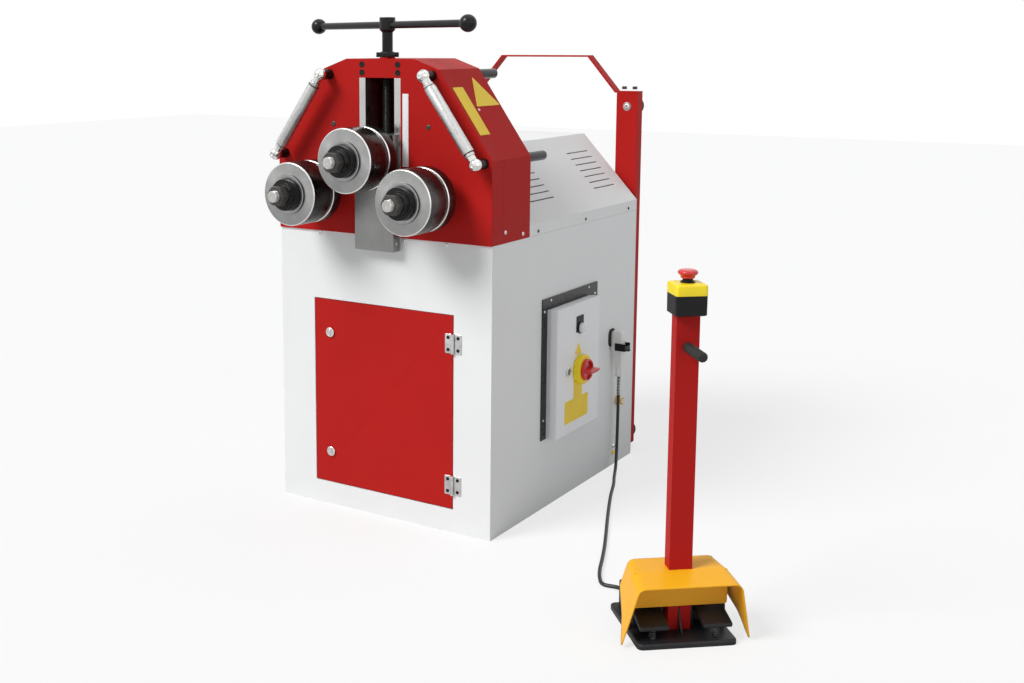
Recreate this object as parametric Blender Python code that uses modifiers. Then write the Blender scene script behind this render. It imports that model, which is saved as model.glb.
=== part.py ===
"""Three-roll section bender with a foot-pedal column, modelled piece by piece.

Metres, +Z up, +X to the operator's right when facing the rolls, -Y towards the operator.
The origin is the centre of the cabinet's footprint on the floor.
"""
import math

import bpy
import bmesh
from mathutils import Matrix, Vector

# Cabinet
CABINET_WIDTH = 0.648
CABINET_DEPTH = 0.846
CABINET_HEIGHT = 0.740
SHEET = 0.003
FRONT_Y = -CABINET_DEPTH / 2
BACK_Y = CABINET_DEPTH / 2
SIDE_X = CABINET_WIDTH / 2

# Clearances
SEAT_GAP = 0.0003
SLIDE_GAP = 0.0005
RUN_GAP = 0.0002
OVERRUN = 0.010

# Facets of the round pieces
ROLL_STEPS = 32
SHAFT_STEPS = 20
SMALL_STEPS = 12

# Head: front plate and rear cover share one outline
PLATE_PROUD = 0.005
PLATE_THICKNESS = 0.055
HEAD_DEPTH = 0.187
HEAD_TOP_Z = 1.185
HEAD_TOP_HALF = 0.102
HEAD_CHAMFER_X = 0.173
HEAD_CHAMFER_Z = 1.160
HEAD_SHOULDER_Z = 0.945
PLATE_FRONT_Y = FRONT_Y - PLATE_PROUD
PLATE_BACK_Y = PLATE_FRONT_Y + PLATE_THICKNESS
HEAD_BACK_Y = FRONT_Y + HEAD_DEPTH
DECK_Z = CABINET_HEIGHT + SEAT_GAP
WINDOW_HALF = 0.0625
WINDOW_TOP_Z = 1.138
RAIL_WIDTH = 0.0187

# Rolls and shafts, placed by their distance in front of the cabinet face
ROLL_RADIUS = 0.080
ROLL_FACE = 0.159
ROLL_WIDTH = 0.070
SPACER_WIDTH = 0.010
SPACER_RADIUS = 0.070
REAR_ROLL_WIDTH = 0.032
ROLL_EDGE = 0.0015
SHAFT_RADIUS = 0.025
THREAD_RADIUS = 0.014
SHAFT_REACH = 0.067
SHAFT_CHAMFER = 0.002
LOWER_SHAFT_X = 0.170
LOWER_SHAFT_Z = 0.851
UPPER_SHAFT_Z = 0.942
LOWER_SHOULDER_RADIUS = 0.035
UPPER_SHOULDER_RADIUS = 0.030
UPPER_JOURNAL_RADIUS = 0.020
REAR_JOURNAL_RADIUS = 0.0175
RING_RADIUS = 0.050
RING_WIDTH = 0.006
WASHER_RADIUS = 0.0395
WASHER_WIDTH = 0.021
BOSS_RADIUS = 0.030
BOSS_WIDTH = 0.009
BOSS_TAPER = 0.003
NUT_ACROSS_CORNERS = 0.053
NUT_WIDTH = 0.024
ROLL_FACE_Y = FRONT_Y - ROLL_FACE
ROLL_BACK_Y = ROLL_FACE_Y + ROLL_WIDTH + SPACER_WIDTH + REAR_ROLL_WIDTH

# Rear bearing plate, the gears and the gearmotor
BEARING_PLATE_Y = FRONT_Y + 0.140
BEARING_PLATE_THICKNESS = 0.025
BEARING_PLATE_HALF = 0.290
BEARING_PLATE_TOP_Z = 0.925
GEAR_MODULE = 0.010
PINION_TEETH = 16
GEAR_TEETH = 18
GEAR_FRONT_Y = FRONT_Y + 0.100
GEAR_WIDTH = 0.025
GEAR_BACKLASH = 0.0016
ADDENDUM_SHARE = 0.85
DEDENDUM_SHARE = 1.15
PRESSURE_ANGLE = math.radians(20)
GEARBOX_HALF = 0.110
GEARBOX_FRONT_Y = FRONT_Y + 0.200
GEARBOX_LENGTH = 0.200
GEARBOX_TOP_Z = 0.930
MOTOR_RADIUS = 0.082
MOTOR_LENGTH = 0.300
MOTOR_Z = 0.835
MOTOR_EDGE = 0.012

# Slider, spindle and handle
SLIDER_HALF = 0.0585
SLIDER_THICKNESS = 0.0275
SLIDER_BOTTOM_Z = 0.707
SLIDER_TOP_Z = 1.000
TONGUE_BOTTOM_Z = 0.790
KEEPER_THICKNESS = 0.010
KEEPER_HALF = 0.060
SPINDLE_Y = FRONT_Y + 0.030
SPINDLE_RADIUS = 0.0135
SPINDLE_COLLAR_RADIUS = 0.018
SPINDLE_COLLAR_Z = 0.982
SPINDLE_COLLAR_HEIGHT = 0.008
HUB_BOTTOM_Z = 1.250
HUB_TOP_Z = 1.287
HUB_RADIUS = 0.020
HUB_TAPER = 0.006
HANDLE_Z = 1.268
HANDLE_BAR_RADIUS = 0.009
HANDLE_REACH = 0.3267
HANDLE_BALL_RADIUS = 0.0205
HANDLE_TURN = math.radians(-21.2)
COLLAR_RADIUS = 0.0195
COLLAR_HEIGHT = 0.0035
LOCK_NUT_RADIUS = 0.020
LOCK_NUT_HEIGHT = 0.012
LUG_REACH = 0.029
LUG_WIDTH = 0.012
SCALE_LEFT_X = 0.0691
SCALE_WIDTH = 0.0172
SCALE_BOTTOM_Z = 0.920
SCALE_LENGTH = 0.180
SCALE_THICKNESS = 0.0012
POINTER_Z = 0.977
POINTER_REACH = 0.0095
POINTER_HALF = 0.006
POINTER_THICKNESS = 0.003
POINTER_PROUD = 0.004

# Side guide rollers
GUIDE_TOP_X = 0.155
GUIDE_TOP_Z = 1.145
GUIDE_LOW_X = 0.302
GUIDE_LOW_Z = 0.9385
GUIDE_FACE = 0.046
GUIDE_ROD_RADIUS = 0.0125
GUIDE_ROD_END = 0.295
GUIDE_BALL_RADIUS = 0.016
GUIDE_AXLE_RADIUS = 0.008
GUIDE_ROLLER_RADIUS = 0.015
GUIDE_ROLLER_INSET = 0.0235
GUIDE_NECK_RADIUS = 0.011
GUIDE_Y = FRONT_Y - GUIDE_FACE

# Hood behind the head
HOOD_SKIRT = 0.030
HOOD_RIDGE_HALF = 0.150
HOOD_TOP_Z = 0.957
SLOT_COUNT = 7
SLOT_LENGTH = 0.135
SLOT_WIDTH = 0.0035
SLOT_FIRST = 0.062
SLOT_PITCH = 0.0213
SLOT_GROUPS_Y = (0.268, 0.648)

# Rear posts, the strap across them and the rubber feet
POST_WIDTH = 0.067
POST_DEPTH = 0.033
POST_CENTRE_X = 0.2755
POST_STANDOFF = 0.024
POST_BOTTOM_Z = 0.020
POST_TOP_Z = 1.078
POST_WALL = 0.003
LUG_CENTRES_Z = (0.150, 0.640)
LUG_HEIGHT = 0.060
STRAP_THICKNESS = 0.005
STRAP_KNEE_X = 0.1475
STRAP_FOOT_X = 0.2375
STRAP_TOP_Z = 1.187
FOOT_RADIUS = 0.026
FOOT_THICKNESS = 0.035
FOOT_EDGE = 0.003
FEET_Z = (0.048, 1.039)
POST_FRONT_Y = BACK_Y + POST_STANDOFF
POST_BACK_Y = POST_FRONT_Y + POST_DEPTH

# Cabinet door, its hinges and its quarter-turn latches
DOOR_HALF = 0.2145
DOOR_BOTTOM_Z = 0.0615
DOOR_TOP_Z = 0.5585
DOOR_GAP = 0.0015
DOOR_FLANGE = 0.015
DOOR_SHEET = 0.002
HINGE_CENTRES_Z = (0.1235, 0.4875)
HINGE_HEIGHT = 0.050
HINGE_LEAF = 0.024
HINGE_LEAF_THICKNESS = 0.002
HINGE_BARREL_RADIUS = 0.0045
HINGE_PIN_RADIUS = 0.002
HINGE_BARREL_OFFSET = 0.0047
LATCH_X = 0.164
LATCHES_Z = (0.1465, 0.471)
LATCH_HEAD_RADIUS = 0.013
LATCH_HEAD_HEIGHT = 0.005
LATCH_STEM_RADIUS = 0.007
LATCH_CAM_LENGTH = 0.062
LATCH_CAM_WIDTH = 0.016
LATCH_CAM_THICKNESS = 0.003

# Control box in the right side wall
PANEL_FRAME_FRONT = 0.258
PANEL_FRAME_BACK = 0.584
PANEL_FRAME_BOTTOM_Z = 0.190
PANEL_FRAME_TOP_Z = 0.567
PANEL_FRAME_LIP = 0.012
BOX_FRONT = 0.285
BOX_BACK = 0.533
BOX_BOTTOM_Z = 0.192
BOX_TOP_Z = 0.536
BOX_INSIDE_X = 0.200
BOX_PROUD = 0.012
BOX_WALL = 0.002
PANEL_SKIN = 0.002
PANEL_DOOR_OVERLAP = PANEL_SKIN
PANEL_DOOR_DEPTH = 0.0225
SWITCH_Y = 0.413
SWITCH_Z = 0.358
SWITCH_PLATE_RADIUS = 0.040
SWITCH_PLATE_HEIGHT = 0.018
SWITCH_PLATE_EDGE = 0.003
SWITCH_DIAL_RADIUS = 0.029
SWITCH_DIAL_HEIGHT = 0.008
SWITCH_GRIP_HEIGHT = 0.028
SWITCH_GRIP_LENGTH = 0.052
SWITCH_GRIP_WIDTH = 0.010
LAMP_Z = 0.471
LAMP_RADIUS = 0.014
LAMP_HEIGHT = 0.012
LAMP_CROWN_SHARE = 0.6
LAMP_COLLAR_RADIUS = 0.016
LAMP_COLLAR_HEIGHT = 0.004
PANEL_LOCK_Y = 0.343
PANEL_LOCK_Z = 0.3634
PANEL_LOCK_RADIUS = 0.012
PANEL_LOCK_HEIGHT = 0.006
PANEL_CAM_LENGTH = 0.024
PANEL_CAM_WIDTH = 0.010

# Pedal connector, supply gland and the cord
CORD_DIAMETER = 0.009
CORD_X = 0.348
CORD_Y = 0.695
SOCKET_OUTER_X = 0.362
SOCKET_HALF = 0.0140
SOCKET_TOP_Z = 0.407
SOCKET_BOTTOM_Z = 0.349
PLUG_HALF = 0.0125
PLUG_BOTTOM_Z = 0.301
PLUG_GLAND_RADIUS = 0.0105
PLUG_GLAND_BOTTOM_Z = 0.275
SPRING_WIRE = 0.0016
SPRING_BOTTOM_Z = 0.221
SPRING_TURNS = 9
SPRING_POINTS_A_TURN = 9
LEVER_Z = 0.366
LEVER_DROP = 0.014
LEVER_WIDTH = 0.007
LEVER_THICKNESS = 0.0025
LEVER_REACH = 0.009
SUPPLY_GLAND_Y = 0.738
SUPPLY_GLAND_Z = 0.190
SUPPLY_GLAND_RADIUS = 0.0135
SUPPLY_GLAND_NECK = 0.011
SUPPLY_GLAND_LENGTH = 0.018

# Foot-pedal column; its own frame has u to its right and v away from the foot
COLUMN_X = 0.877
COLUMN_Y = FRONT_Y - 0.192
COLUMN_TURN = math.radians(40.9)
PEDAL_BASE_HALF = 0.1055
PEDAL_BASE_FRONT = -0.1105
PEDAL_BASE_BACK = 0.100
PEDAL_BASE_HEIGHT = 0.012
SWITCH_HOUSING_HALF = 0.088
SWITCH_HOUSING_FRONT = -0.008
SWITCH_HOUSING_BACK = 0.092
SWITCH_HOUSING_TOP_Z = 0.068
RIB_HALF = 0.002
RIB_TOP_Z = 0.062
RIB_STEPS = 5
PEDAL_INNER = 0.036
PEDAL_OUTER = 0.098
PEDAL_FRONT = -0.100
PEDAL_FRONT_TOP_Z = 0.043
PEDAL_BACK = -0.020
PEDAL_BACK_TOP_Z = 0.063
PEDAL_THICKNESS = 0.009
PEDAL_PIN_V = -0.026
PEDAL_PIN_Z = 0.050
PEDAL_PIN_RADIUS = 0.004
PEDAL_EYE_RADIUS = 0.009
SPRING_SEAT_RADIUS = 0.006
SPRING_SEAT_HEIGHT = 0.004
EAR_THICKNESS = 0.006
EAR_GAP = 0.001
GUARD_SHEET = 0.0025
GUARD_FRONT = -0.1155
GUARD_FRONT_Z = 0.133
GUARD_FRONT_HALF = 0.112
GUARD_FOLD = -0.050
GUARD_FOLD_Z = 0.1436
GUARD_FOLD_HALF = 0.106
GUARD_BACK = 0.012
GUARD_BACK_Z = 0.146
GUARD_BACK_HALF = 0.097
GUARD_ROUND = 0.018
GUARD_TIP_HALF = 0.138
GUARD_TIP_Z = 0.002
GUARD_TIP_V = -0.094
GUARD_MIDDLE_LOW_V = -0.055
GUARD_MIDDLE_LOW_Z = 0.052
GUARD_MIDDLE_HALF = 0.125
GUARD_TAIL_Z = 0.090
GUARD_TAIL_HALF = 0.110
GUARD_WALL_Z = 0.0705
COLUMN_HALF = 0.0245
COLUMN_FRONT = -0.050
COLUMN_DEPTH = 0.030
COLUMN_WALL = 0.002
COLUMN_TOP_Z = 0.6817
STOP_HALF = 0.0335
STOP_FRONT = -0.070
STOP_BACK = -0.006
STOP_TOP_Z = 0.7465
STOP_EDGE = 0.004
STOP_COLLAR_RADIUS = 0.0150
STOP_COLLAR_HEIGHT = 0.003
STOP_WELL_DEPTH = 0.018
STOP_TRAVEL = 0.0045
STOP_PLUNGER_RADIUS = 0.0105
STOP_KEY_SHARE = 0.6
STOP_HEAD_BOTTOM_Z = 0.7550
STOP_NECK_FLARE_Z = 0.7610
STOP_NECK_Z = 0.7690
STOP_NECK_RADIUS = 0.0150
STOP_HEAD_Z = 0.7650
STOP_HEAD_TOP_Z = 0.7740
STOP_HEAD_RADIUS = 0.0205
STOP_HEAD_EDGE = 0.0035
GRIP_Z = 0.615
GRIP_RADIUS = 0.0105
GRIP_LENGTH = 0.090
GRIP_EDGE = 0.002
CORD_GLAND_RADIUS = 0.009
CORD_GLAND_LENGTH = 0.016
CORD_GLAND_U = -0.060
CORD_GLAND_Z = 0.014

# The cord's way over the floor: across from the machine's middle, and behind the cabinet face
CORD_FLOOR_ROUTE = (
    (0.3480, 0.6950, 0.2650), (0.3480, 0.6950, 0.2300), (0.3480, 0.6946, 0.1900),
    (0.3482, 0.6936, 0.1400), (0.3490, 0.6905, 0.0900), (0.3512, 0.6840, 0.0480),
    (0.3565, 0.6700, 0.0185), (0.3665, 0.6430, 0.0060), (0.3840, 0.5990, 0.0048),
    (0.4070, 0.5450, 0.0048), (0.4370, 0.4620, 0.0048), (0.4720, 0.3740, 0.0048),
    (0.5080, 0.2870, 0.0048), (0.5440, 0.2020, 0.0048), (0.5790, 0.1180, 0.0048),
    (0.6080, 0.0430, 0.0048), (0.6300, -0.0170, 0.0048), (0.6520, -0.0640, 0.0048),
    (0.6740, -0.0920, 0.0050),
)
CORD_LEAD = 0.065
CORD_STEP_DIAMETERS = 2.6

PARTS = "ring_roller"
CUTTERS = "cutters"


def clear_scene():
    """Remove everything and make the two collections."""
    for item in list(bpy.data.objects):
        bpy.data.objects.remove(item, do_unlink=True)
    for name in (PARTS, CUTTERS):
        if name not in bpy.data.collections:
            bpy.context.scene.collection.children.link(bpy.data.collections.new(name))


def material(name, colour, roughness, metallic):
    """A Principled material with one colour."""
    made = bpy.data.materials.new(name)
    made.use_nodes = True
    shader = made.node_tree.nodes["Principled BSDF"]
    shader.inputs["Base Color"].default_value = (*colour, 1.0)
    shader.inputs["Roughness"].default_value = roughness
    shader.inputs["Metallic"].default_value = metallic
    return made


def link(item):
    """Put a new object in the parts collection."""
    bpy.data.collections[PARTS].objects.link(item)
    return item


def baked(item, name):
    """The evaluated mesh of an object, in world space, as a new plain mesh."""
    bpy.context.view_layer.update()
    graph = bpy.context.evaluated_depsgraph_get()
    mesh = bpy.data.meshes.new_from_object(item.evaluated_get(graph))
    mesh.transform(item.matrix_world)
    mesh.name = name
    work = bmesh.new()
    work.from_mesh(mesh)
    bmesh.ops.remove_doubles(work, verts=work.verts, dist=SHEET / 100)
    work.to_mesh(mesh)
    work.free()
    return mesh


def box(low, high):
    """A block between two corners."""
    work = bmesh.new()
    low, high = Vector(low), Vector(high)
    size = Matrix.Diagonal((*(high - low), 1.0))
    bmesh.ops.create_cube(work, size=1.0, matrix=Matrix.Translation((low + high) / 2) @ size)
    mesh = bpy.data.meshes.new("box")
    work.to_mesh(mesh)
    work.free()
    return link(bpy.data.objects.new("box", mesh))


def rounded(item, width, segments=2):
    """Round an object's edges by a width."""
    bevel = item.modifiers.new("round", "BEVEL")
    bevel.width = width
    bevel.segments = segments
    bevel.limit_method = "ANGLE"
    return item


def place(item, centre, axis):
    """Turn an object's local Z along a world axis and move it to a centre."""
    turns = {"X": Matrix.Rotation(math.pi / 2, 4, "Y"), "Y": Matrix.Rotation(-math.pi / 2, 4, "X")}
    item.matrix_world = Matrix.Translation(centre) @ turns.get(axis, Matrix.Identity(4))
    return item


def turned(outline, centre=(0, 0, 0), axis="Z", steps=SHAFT_STEPS, ring=False):
    """A Screw of (radius, height) points that run down the outer side; ring closes the loop."""
    mesh = bpy.data.meshes.new("turned")
    edges = [(i, i + 1) for i in range(len(outline) - 1)]
    if ring:
        edges.append((len(outline) - 1, 0))
    mesh.from_pydata([(radius, 0, height) for radius, height in outline], edges, [])
    item = link(bpy.data.objects.new("turned", mesh))
    screw = item.modifiers.new("screw", "SCREW")
    screw.steps = steps
    screw.render_steps = steps
    screw.use_merge_vertices = True
    screw.merge_threshold = SHEET / 100
    screw.use_smooth_shade = True
    return place(item, centre, axis)


def rod(radius, low, high, centre=(0, 0, 0), axis="Z", steps=SHAFT_STEPS):
    """A plain cylinder between two heights along its axis."""
    return turned([(0, high), (radius, high), (radius, low), (0, low)], centre, axis, steps)


def tube_ring(inner, outer, low, high, centre=(0, 0, 0), axis="Z", steps=SHAFT_STEPS):
    """A plain ring between two heights along its axis."""
    outline = [(inner, high), (outer, high), (outer, low), (inner, low)]
    return turned(outline, centre, axis, steps, ring=True)


def ball_outline(radius, height, start, end, count=7):
    """Points down a ball's outer side between two angles from its top."""
    angles = [start + (end - start) * i / (count - 1) for i in range(count)]
    return [(radius * math.sin(a), height + radius * math.cos(a)) for a in angles]


def circle(x, y, radius, steps=SHAFT_STEPS):
    """Points round a circle."""
    angles = [2 * math.pi * i / steps for i in range(steps)]
    return [(x + radius * math.cos(a), y + radius * math.sin(a)) for a in angles]


def running_bore(radius, steps=SHAFT_STEPS):
    """The radius of a faceted hole in which a faceted shaft turns freely."""
    return (radius + RUN_GAP) / math.cos(math.pi / steps)


def slab(outlines, low, high, axis="Y"):
    """A flat outline with holes, as a filled 2D curve, between two places along an axis.

    The outline's two coordinates are (x, z) for Y, (y, z) for X and (x, y) for Z.
    """
    curve = bpy.data.curves.new("slab", "CURVE")
    curve.dimensions = "2D"
    curve.fill_mode = "BOTH"
    curve.extrude = abs(high - low) / 2
    for outline in outlines:
        spline = curve.splines.new("POLY")
        spline.points.add(len(outline) - 1)
        for point, (a, b) in zip(spline.points, outline):
            point.co = (a, b, 0, 1)
        spline.use_cyclic_u = True
    raw = bpy.data.objects.new("slab", curve)
    link(raw)
    middle = (low + high) / 2
    frames = {
        "X": Matrix(((0, 0, 1, middle), (1, 0, 0, 0), (0, 1, 0, 0), (0, 0, 0, 1))),
        "Y": Matrix(((1, 0, 0, 0), (0, 0, -1, middle), (0, 1, 0, 0), (0, 0, 0, 1))),
        "Z": Matrix.Translation((0, 0, middle)),
    }
    raw.matrix_world = frames[axis]
    item = link(bpy.data.objects.new("slab", baked(raw, "slab")))
    bpy.data.objects.remove(raw)
    return item


def strip(path, low, high, thickness):
    """A flat bar bent in the XZ plane: an open sheet from one Y to another, with Solidify."""
    mesh = bpy.data.meshes.new("strip")
    points = [(x, y, z) for x, z in path for y in (low, high)]
    faces = [(2 * i, 2 * i + 1, 2 * i + 3, 2 * i + 2) for i in range(len(path) - 1)]
    mesh.from_pydata(points, [], faces)
    item = link(bpy.data.objects.new("strip", mesh))
    solid = item.modifiers.new("wall", "SOLIDIFY")
    solid.thickness = thickness
    solid.offset = -1
    solid.use_even_offset = True
    return item


def wire(points, radius, resolution=2):
    """A round wire with filled caps along points."""
    curve = bpy.data.curves.new("wire", "CURVE")
    curve.dimensions = "3D"
    curve.bevel_depth = radius
    curve.bevel_resolution = resolution
    curve.use_fill_caps = True
    spline = curve.splines.new("POLY")
    spline.points.add(len(points) - 1)
    for point, place_ in zip(spline.points, points):
        point.co = (*place_, 1)
    return link(bpy.data.objects.new("wire", curve))


def drop_into_cutters(item):
    """Hide a tool shape in the cutters' collection."""
    bpy.data.collections[PARTS].objects.unlink(item)
    bpy.data.collections[CUTTERS].objects.link(item)
    item.name = "cutter"
    item.hide_render = True
    item.display_type = "WIRE"


def boolean(item, tools, operation):
    """Add one Boolean modifier for each tool shape."""
    for tool in tools:
        step = item.modifiers.new(operation.lower(), "BOOLEAN")
        step.operation = operation
        step.solver = "EXACT"
        step.object = tool
        drop_into_cutters(tool)
    return item


def cut(item, *tools):
    """Take shapes out of an object."""
    return boolean(item, tools, "DIFFERENCE")


def fuse(item, *tools):
    """Join shapes to an object as one solid."""
    return boolean(item, tools, "UNION")


def together(*shapes):
    """One object that holds several separate solids."""
    work = bmesh.new()
    for shape in shapes:
        mesh = baked(shape, "part")
        work.from_mesh(mesh)
        bpy.data.meshes.remove(mesh)
        bpy.data.objects.remove(shape)
    mesh = bpy.data.meshes.new("group")
    work.to_mesh(mesh)
    work.free()
    return link(bpy.data.objects.new("group", mesh))


def node(name, item, finish, carrier=None, smooth=True):
    """Name a finished piece, give it its material and hang it on its carrier."""
    item.name = name
    item.data.name = name
    item.data.materials.clear()
    item.data.materials.append(finish)
    if smooth and item.type == "MESH" and item.data.polygons:
        item.data.shade_smooth()
        item.data.set_sharp_from_angle(angle=math.radians(35))
    if carrier:
        bpy.context.view_layer.update()
        item.parent = carrier
        item.matrix_parent_inverse = carrier.matrix_world.inverted()
    return item


def axis_point(name, location, turn=0.0, carrier=None):
    """An empty on a joint's axis, or at the frame of a group."""
    item = link(bpy.data.objects.new(name, None))
    item.empty_display_size = SHEET * 10
    item.matrix_world = Matrix.Translation(location) @ Matrix.Rotation(turn, 4, "Z")
    bpy.context.view_layer.update()
    if carrier:
        place_ = item.matrix_world.copy()
        item.parent = carrier
        item.matrix_parent_inverse = carrier.matrix_world.inverted()
        item.matrix_world = place_
        bpy.context.view_layer.update()
    return item


def inset(outline, wall):
    """A convex outline moved inwards by a wall; points run clockwise or anticlockwise."""
    count = len(outline)
    area = sum(outline[i][0] * outline[(i + 1) % count][1] - outline[(i + 1) % count][0] * outline[i][1]
               for i in range(count))
    side = 1 if area > 0 else -1
    lines = []
    for i in range(count):
        a, b = Vector(outline[i]), Vector(outline[(i + 1) % count])
        along = (b - a).normalized()
        inward = Vector((-along.y, along.x)) * side
        lines.append((a + inward * wall, along))
    corners = []
    for i in range(count):
        (p, d), (q, e) = lines[i - 1], lines[i]
        cross = d.x * e.y - d.y * e.x
        reach = ((q - p).x * e.y - (q - p).y * e.x) / cross
        corners.append(tuple(p + d * reach))
    return corners


def head_outline(bottom):
    """The head's eight-sided outline above a bottom height."""
    half = [(SIDE_X, bottom), (SIDE_X, HEAD_SHOULDER_Z), (HEAD_CHAMFER_X, HEAD_CHAMFER_Z),
            (HEAD_TOP_HALF, HEAD_TOP_Z)]
    return half + [(-x, z) for x, z in reversed(half)]


def guide_places():
    """Where the guide rods pass through the head, as (x, z)."""
    return [(side * x, z) for side in (-1, 1) for x, z in
            ((GUIDE_TOP_X, GUIDE_TOP_Z), (GUIDE_LOW_X, GUIDE_LOW_Z))]


def make_cabinet(steel):
    """The folded cabinet with its door and control-box openings and the supply cable's gland."""
    shell = box((-SIDE_X, FRONT_Y, 0), (SIDE_X, BACK_Y, CABINET_HEIGHT))
    hollow = box((-SIDE_X + SHEET, FRONT_Y + SHEET, SHEET),
                 (SIDE_X - SHEET, BACK_Y - SHEET, CABINET_HEIGHT - SHEET))
    doorway = box((-DOOR_HALF - DOOR_GAP, FRONT_Y - OVERRUN, DOOR_BOTTOM_Z - DOOR_GAP),
                  (DOOR_HALF + DOOR_GAP, FRONT_Y + OVERRUN, DOOR_TOP_Z + DOOR_GAP))
    window = box((SIDE_X - OVERRUN, FRONT_Y + BOX_FRONT - SLIDE_GAP, BOX_BOTTOM_Z - SLIDE_GAP),
                 (SIDE_X + OVERRUN, FRONT_Y + BOX_BACK + SLIDE_GAP, BOX_TOP_Z + SLIDE_GAP))
    length = SUPPLY_GLAND_LENGTH
    outline = [(0, length), (SUPPLY_GLAND_NECK, length), (SUPPLY_GLAND_RADIUS, length * 2 / 3),
               (SUPPLY_GLAND_RADIUS, -SHEET / 2), (0, -SHEET / 2)]
    gland = turned(outline, (SIDE_X, FRONT_Y + SUPPLY_GLAND_Y, SUPPLY_GLAND_Z), "X", SMALL_STEPS)
    node("cabinet", fuse(cut(shell, hollow, doorway, window), gland), steel, smooth=False)


def make_head(red, bright, white):
    """Front plate with its window and bores, the sheet cover behind it, the rails and the scale."""
    outline = head_outline(DECK_Z)
    window = [(-WINDOW_HALF, DECK_Z), (-WINDOW_HALF, WINDOW_TOP_Z), (WINDOW_HALF, WINDOW_TOP_Z),
              (WINDOW_HALF, DECK_Z)]
    holes = [circle(x, z, GUIDE_ROD_RADIUS + SLIDE_GAP) for x, z in guide_places()]
    bores = [circle(side * LOWER_SHAFT_X, LOWER_SHAFT_Z, running_bore(SHAFT_RADIUS)) for side in (-1, 1)]
    plate = slab([outline + window] + holes + bores, PLATE_FRONT_Y, PLATE_BACK_Y)
    collar = rod(COLLAR_RADIUS, HEAD_TOP_Z - SHEET, HEAD_TOP_Z + COLLAR_HEIGHT, (0, SPINDLE_Y, 0))
    spindle_hole = rod(running_bore(SPINDLE_RADIUS), WINDOW_TOP_Z - OVERRUN, HEAD_TOP_Z + OVERRUN,
                       (0, SPINDLE_Y, 0))
    node("front_plate", cut(fuse(plate, collar), spindle_hole), red, smooth=False)

    outer = slab([outline], PLATE_BACK_Y + SEAT_GAP, HEAD_BACK_Y)
    inner_outline = inset(head_outline(DECK_Z - OVERRUN), SHEET)
    inner = slab([inner_outline], PLATE_BACK_Y - OVERRUN, HEAD_BACK_Y - SHEET)
    rods = together(*[rod(GUIDE_ROD_RADIUS + SLIDE_GAP, -OVERRUN, OVERRUN, (x, HEAD_BACK_Y, z), "Y")
                      for x, z in guide_places()])
    drive = rod(REAR_JOURNAL_RADIUS * 2, -OVERRUN, OVERRUN, (0, HEAD_BACK_Y, LOWER_SHAFT_Z), "Y")
    node("head_cover", cut(outer, inner, rods, drive), red, smooth=False)

    for name, side in (("left", -1), ("right", 1)):
        edges = sorted((side * (WINDOW_HALF - SEAT_GAP), side * (WINDOW_HALF - RAIL_WIDTH)))
        rail = box((edges[0], PLATE_FRONT_Y, DECK_Z + SEAT_GAP), (edges[1], PLATE_BACK_Y, WINDOW_TOP_Z - SEAT_GAP))
        node(name + "_rail", rail, bright, smooth=False)

    scale = box((SCALE_LEFT_X, PLATE_FRONT_Y - SEAT_GAP - SCALE_THICKNESS, SCALE_BOTTOM_Z),
                (SCALE_LEFT_X + SCALE_WIDTH, PLATE_FRONT_Y - SEAT_GAP, SCALE_BOTTOM_Z + SCALE_LENGTH))
    node("scale_plate", scale, white, smooth=False)


def hood_outline(bottom):
    """The hood's section: skirt, slope and flat ridge on both sides."""
    skirt_top = CABINET_HEIGHT + HOOD_SKIRT
    half = [(SIDE_X, bottom), (SIDE_X, skirt_top), (HOOD_RIDGE_HALF, HOOD_TOP_Z)]
    return half + [(-x, z) for x, z in reversed(half)]


def make_hood(steel):
    """The folded hood over the gearmotor, with louvre slots in both slopes."""
    front = HEAD_BACK_Y + SEAT_GAP
    outer = slab([hood_outline(DECK_Z)], front, BACK_Y)
    inner = slab([inset(hood_outline(DECK_Z - OVERRUN), SHEET)], front - OVERRUN, BACK_Y - SHEET)
    rise = HOOD_TOP_Z - CABINET_HEIGHT - HOOD_SKIRT
    run = SIDE_X - HOOD_RIDGE_HALF
    slope = math.atan2(rise, run)
    cutters = []
    for side in (-1, 1):
        slots = []
        for start in SLOT_GROUPS_Y:
            for i in range(SLOT_COUNT):
                down = SLOT_FIRST + i * SLOT_PITCH
                slot = box((-SLOT_WIDTH / 2, FRONT_Y + start, -SHEET * 3),
                           (SLOT_WIDTH / 2, FRONT_Y + start + SLOT_LENGTH, SHEET * 3))
                x = HOOD_RIDGE_HALF + down * math.cos(slope)
                z = HOOD_TOP_Z - down * math.sin(slope)
                slot.matrix_world = (Matrix.Translation((side * x, 0, z))
                                     @ Matrix.Rotation(side * slope, 4, "Y"))
                slots.append(slot)
        cutters.append(together(*slots))
    node("hood", cut(outer, inner, *cutters), steel, smooth=False)


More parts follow.
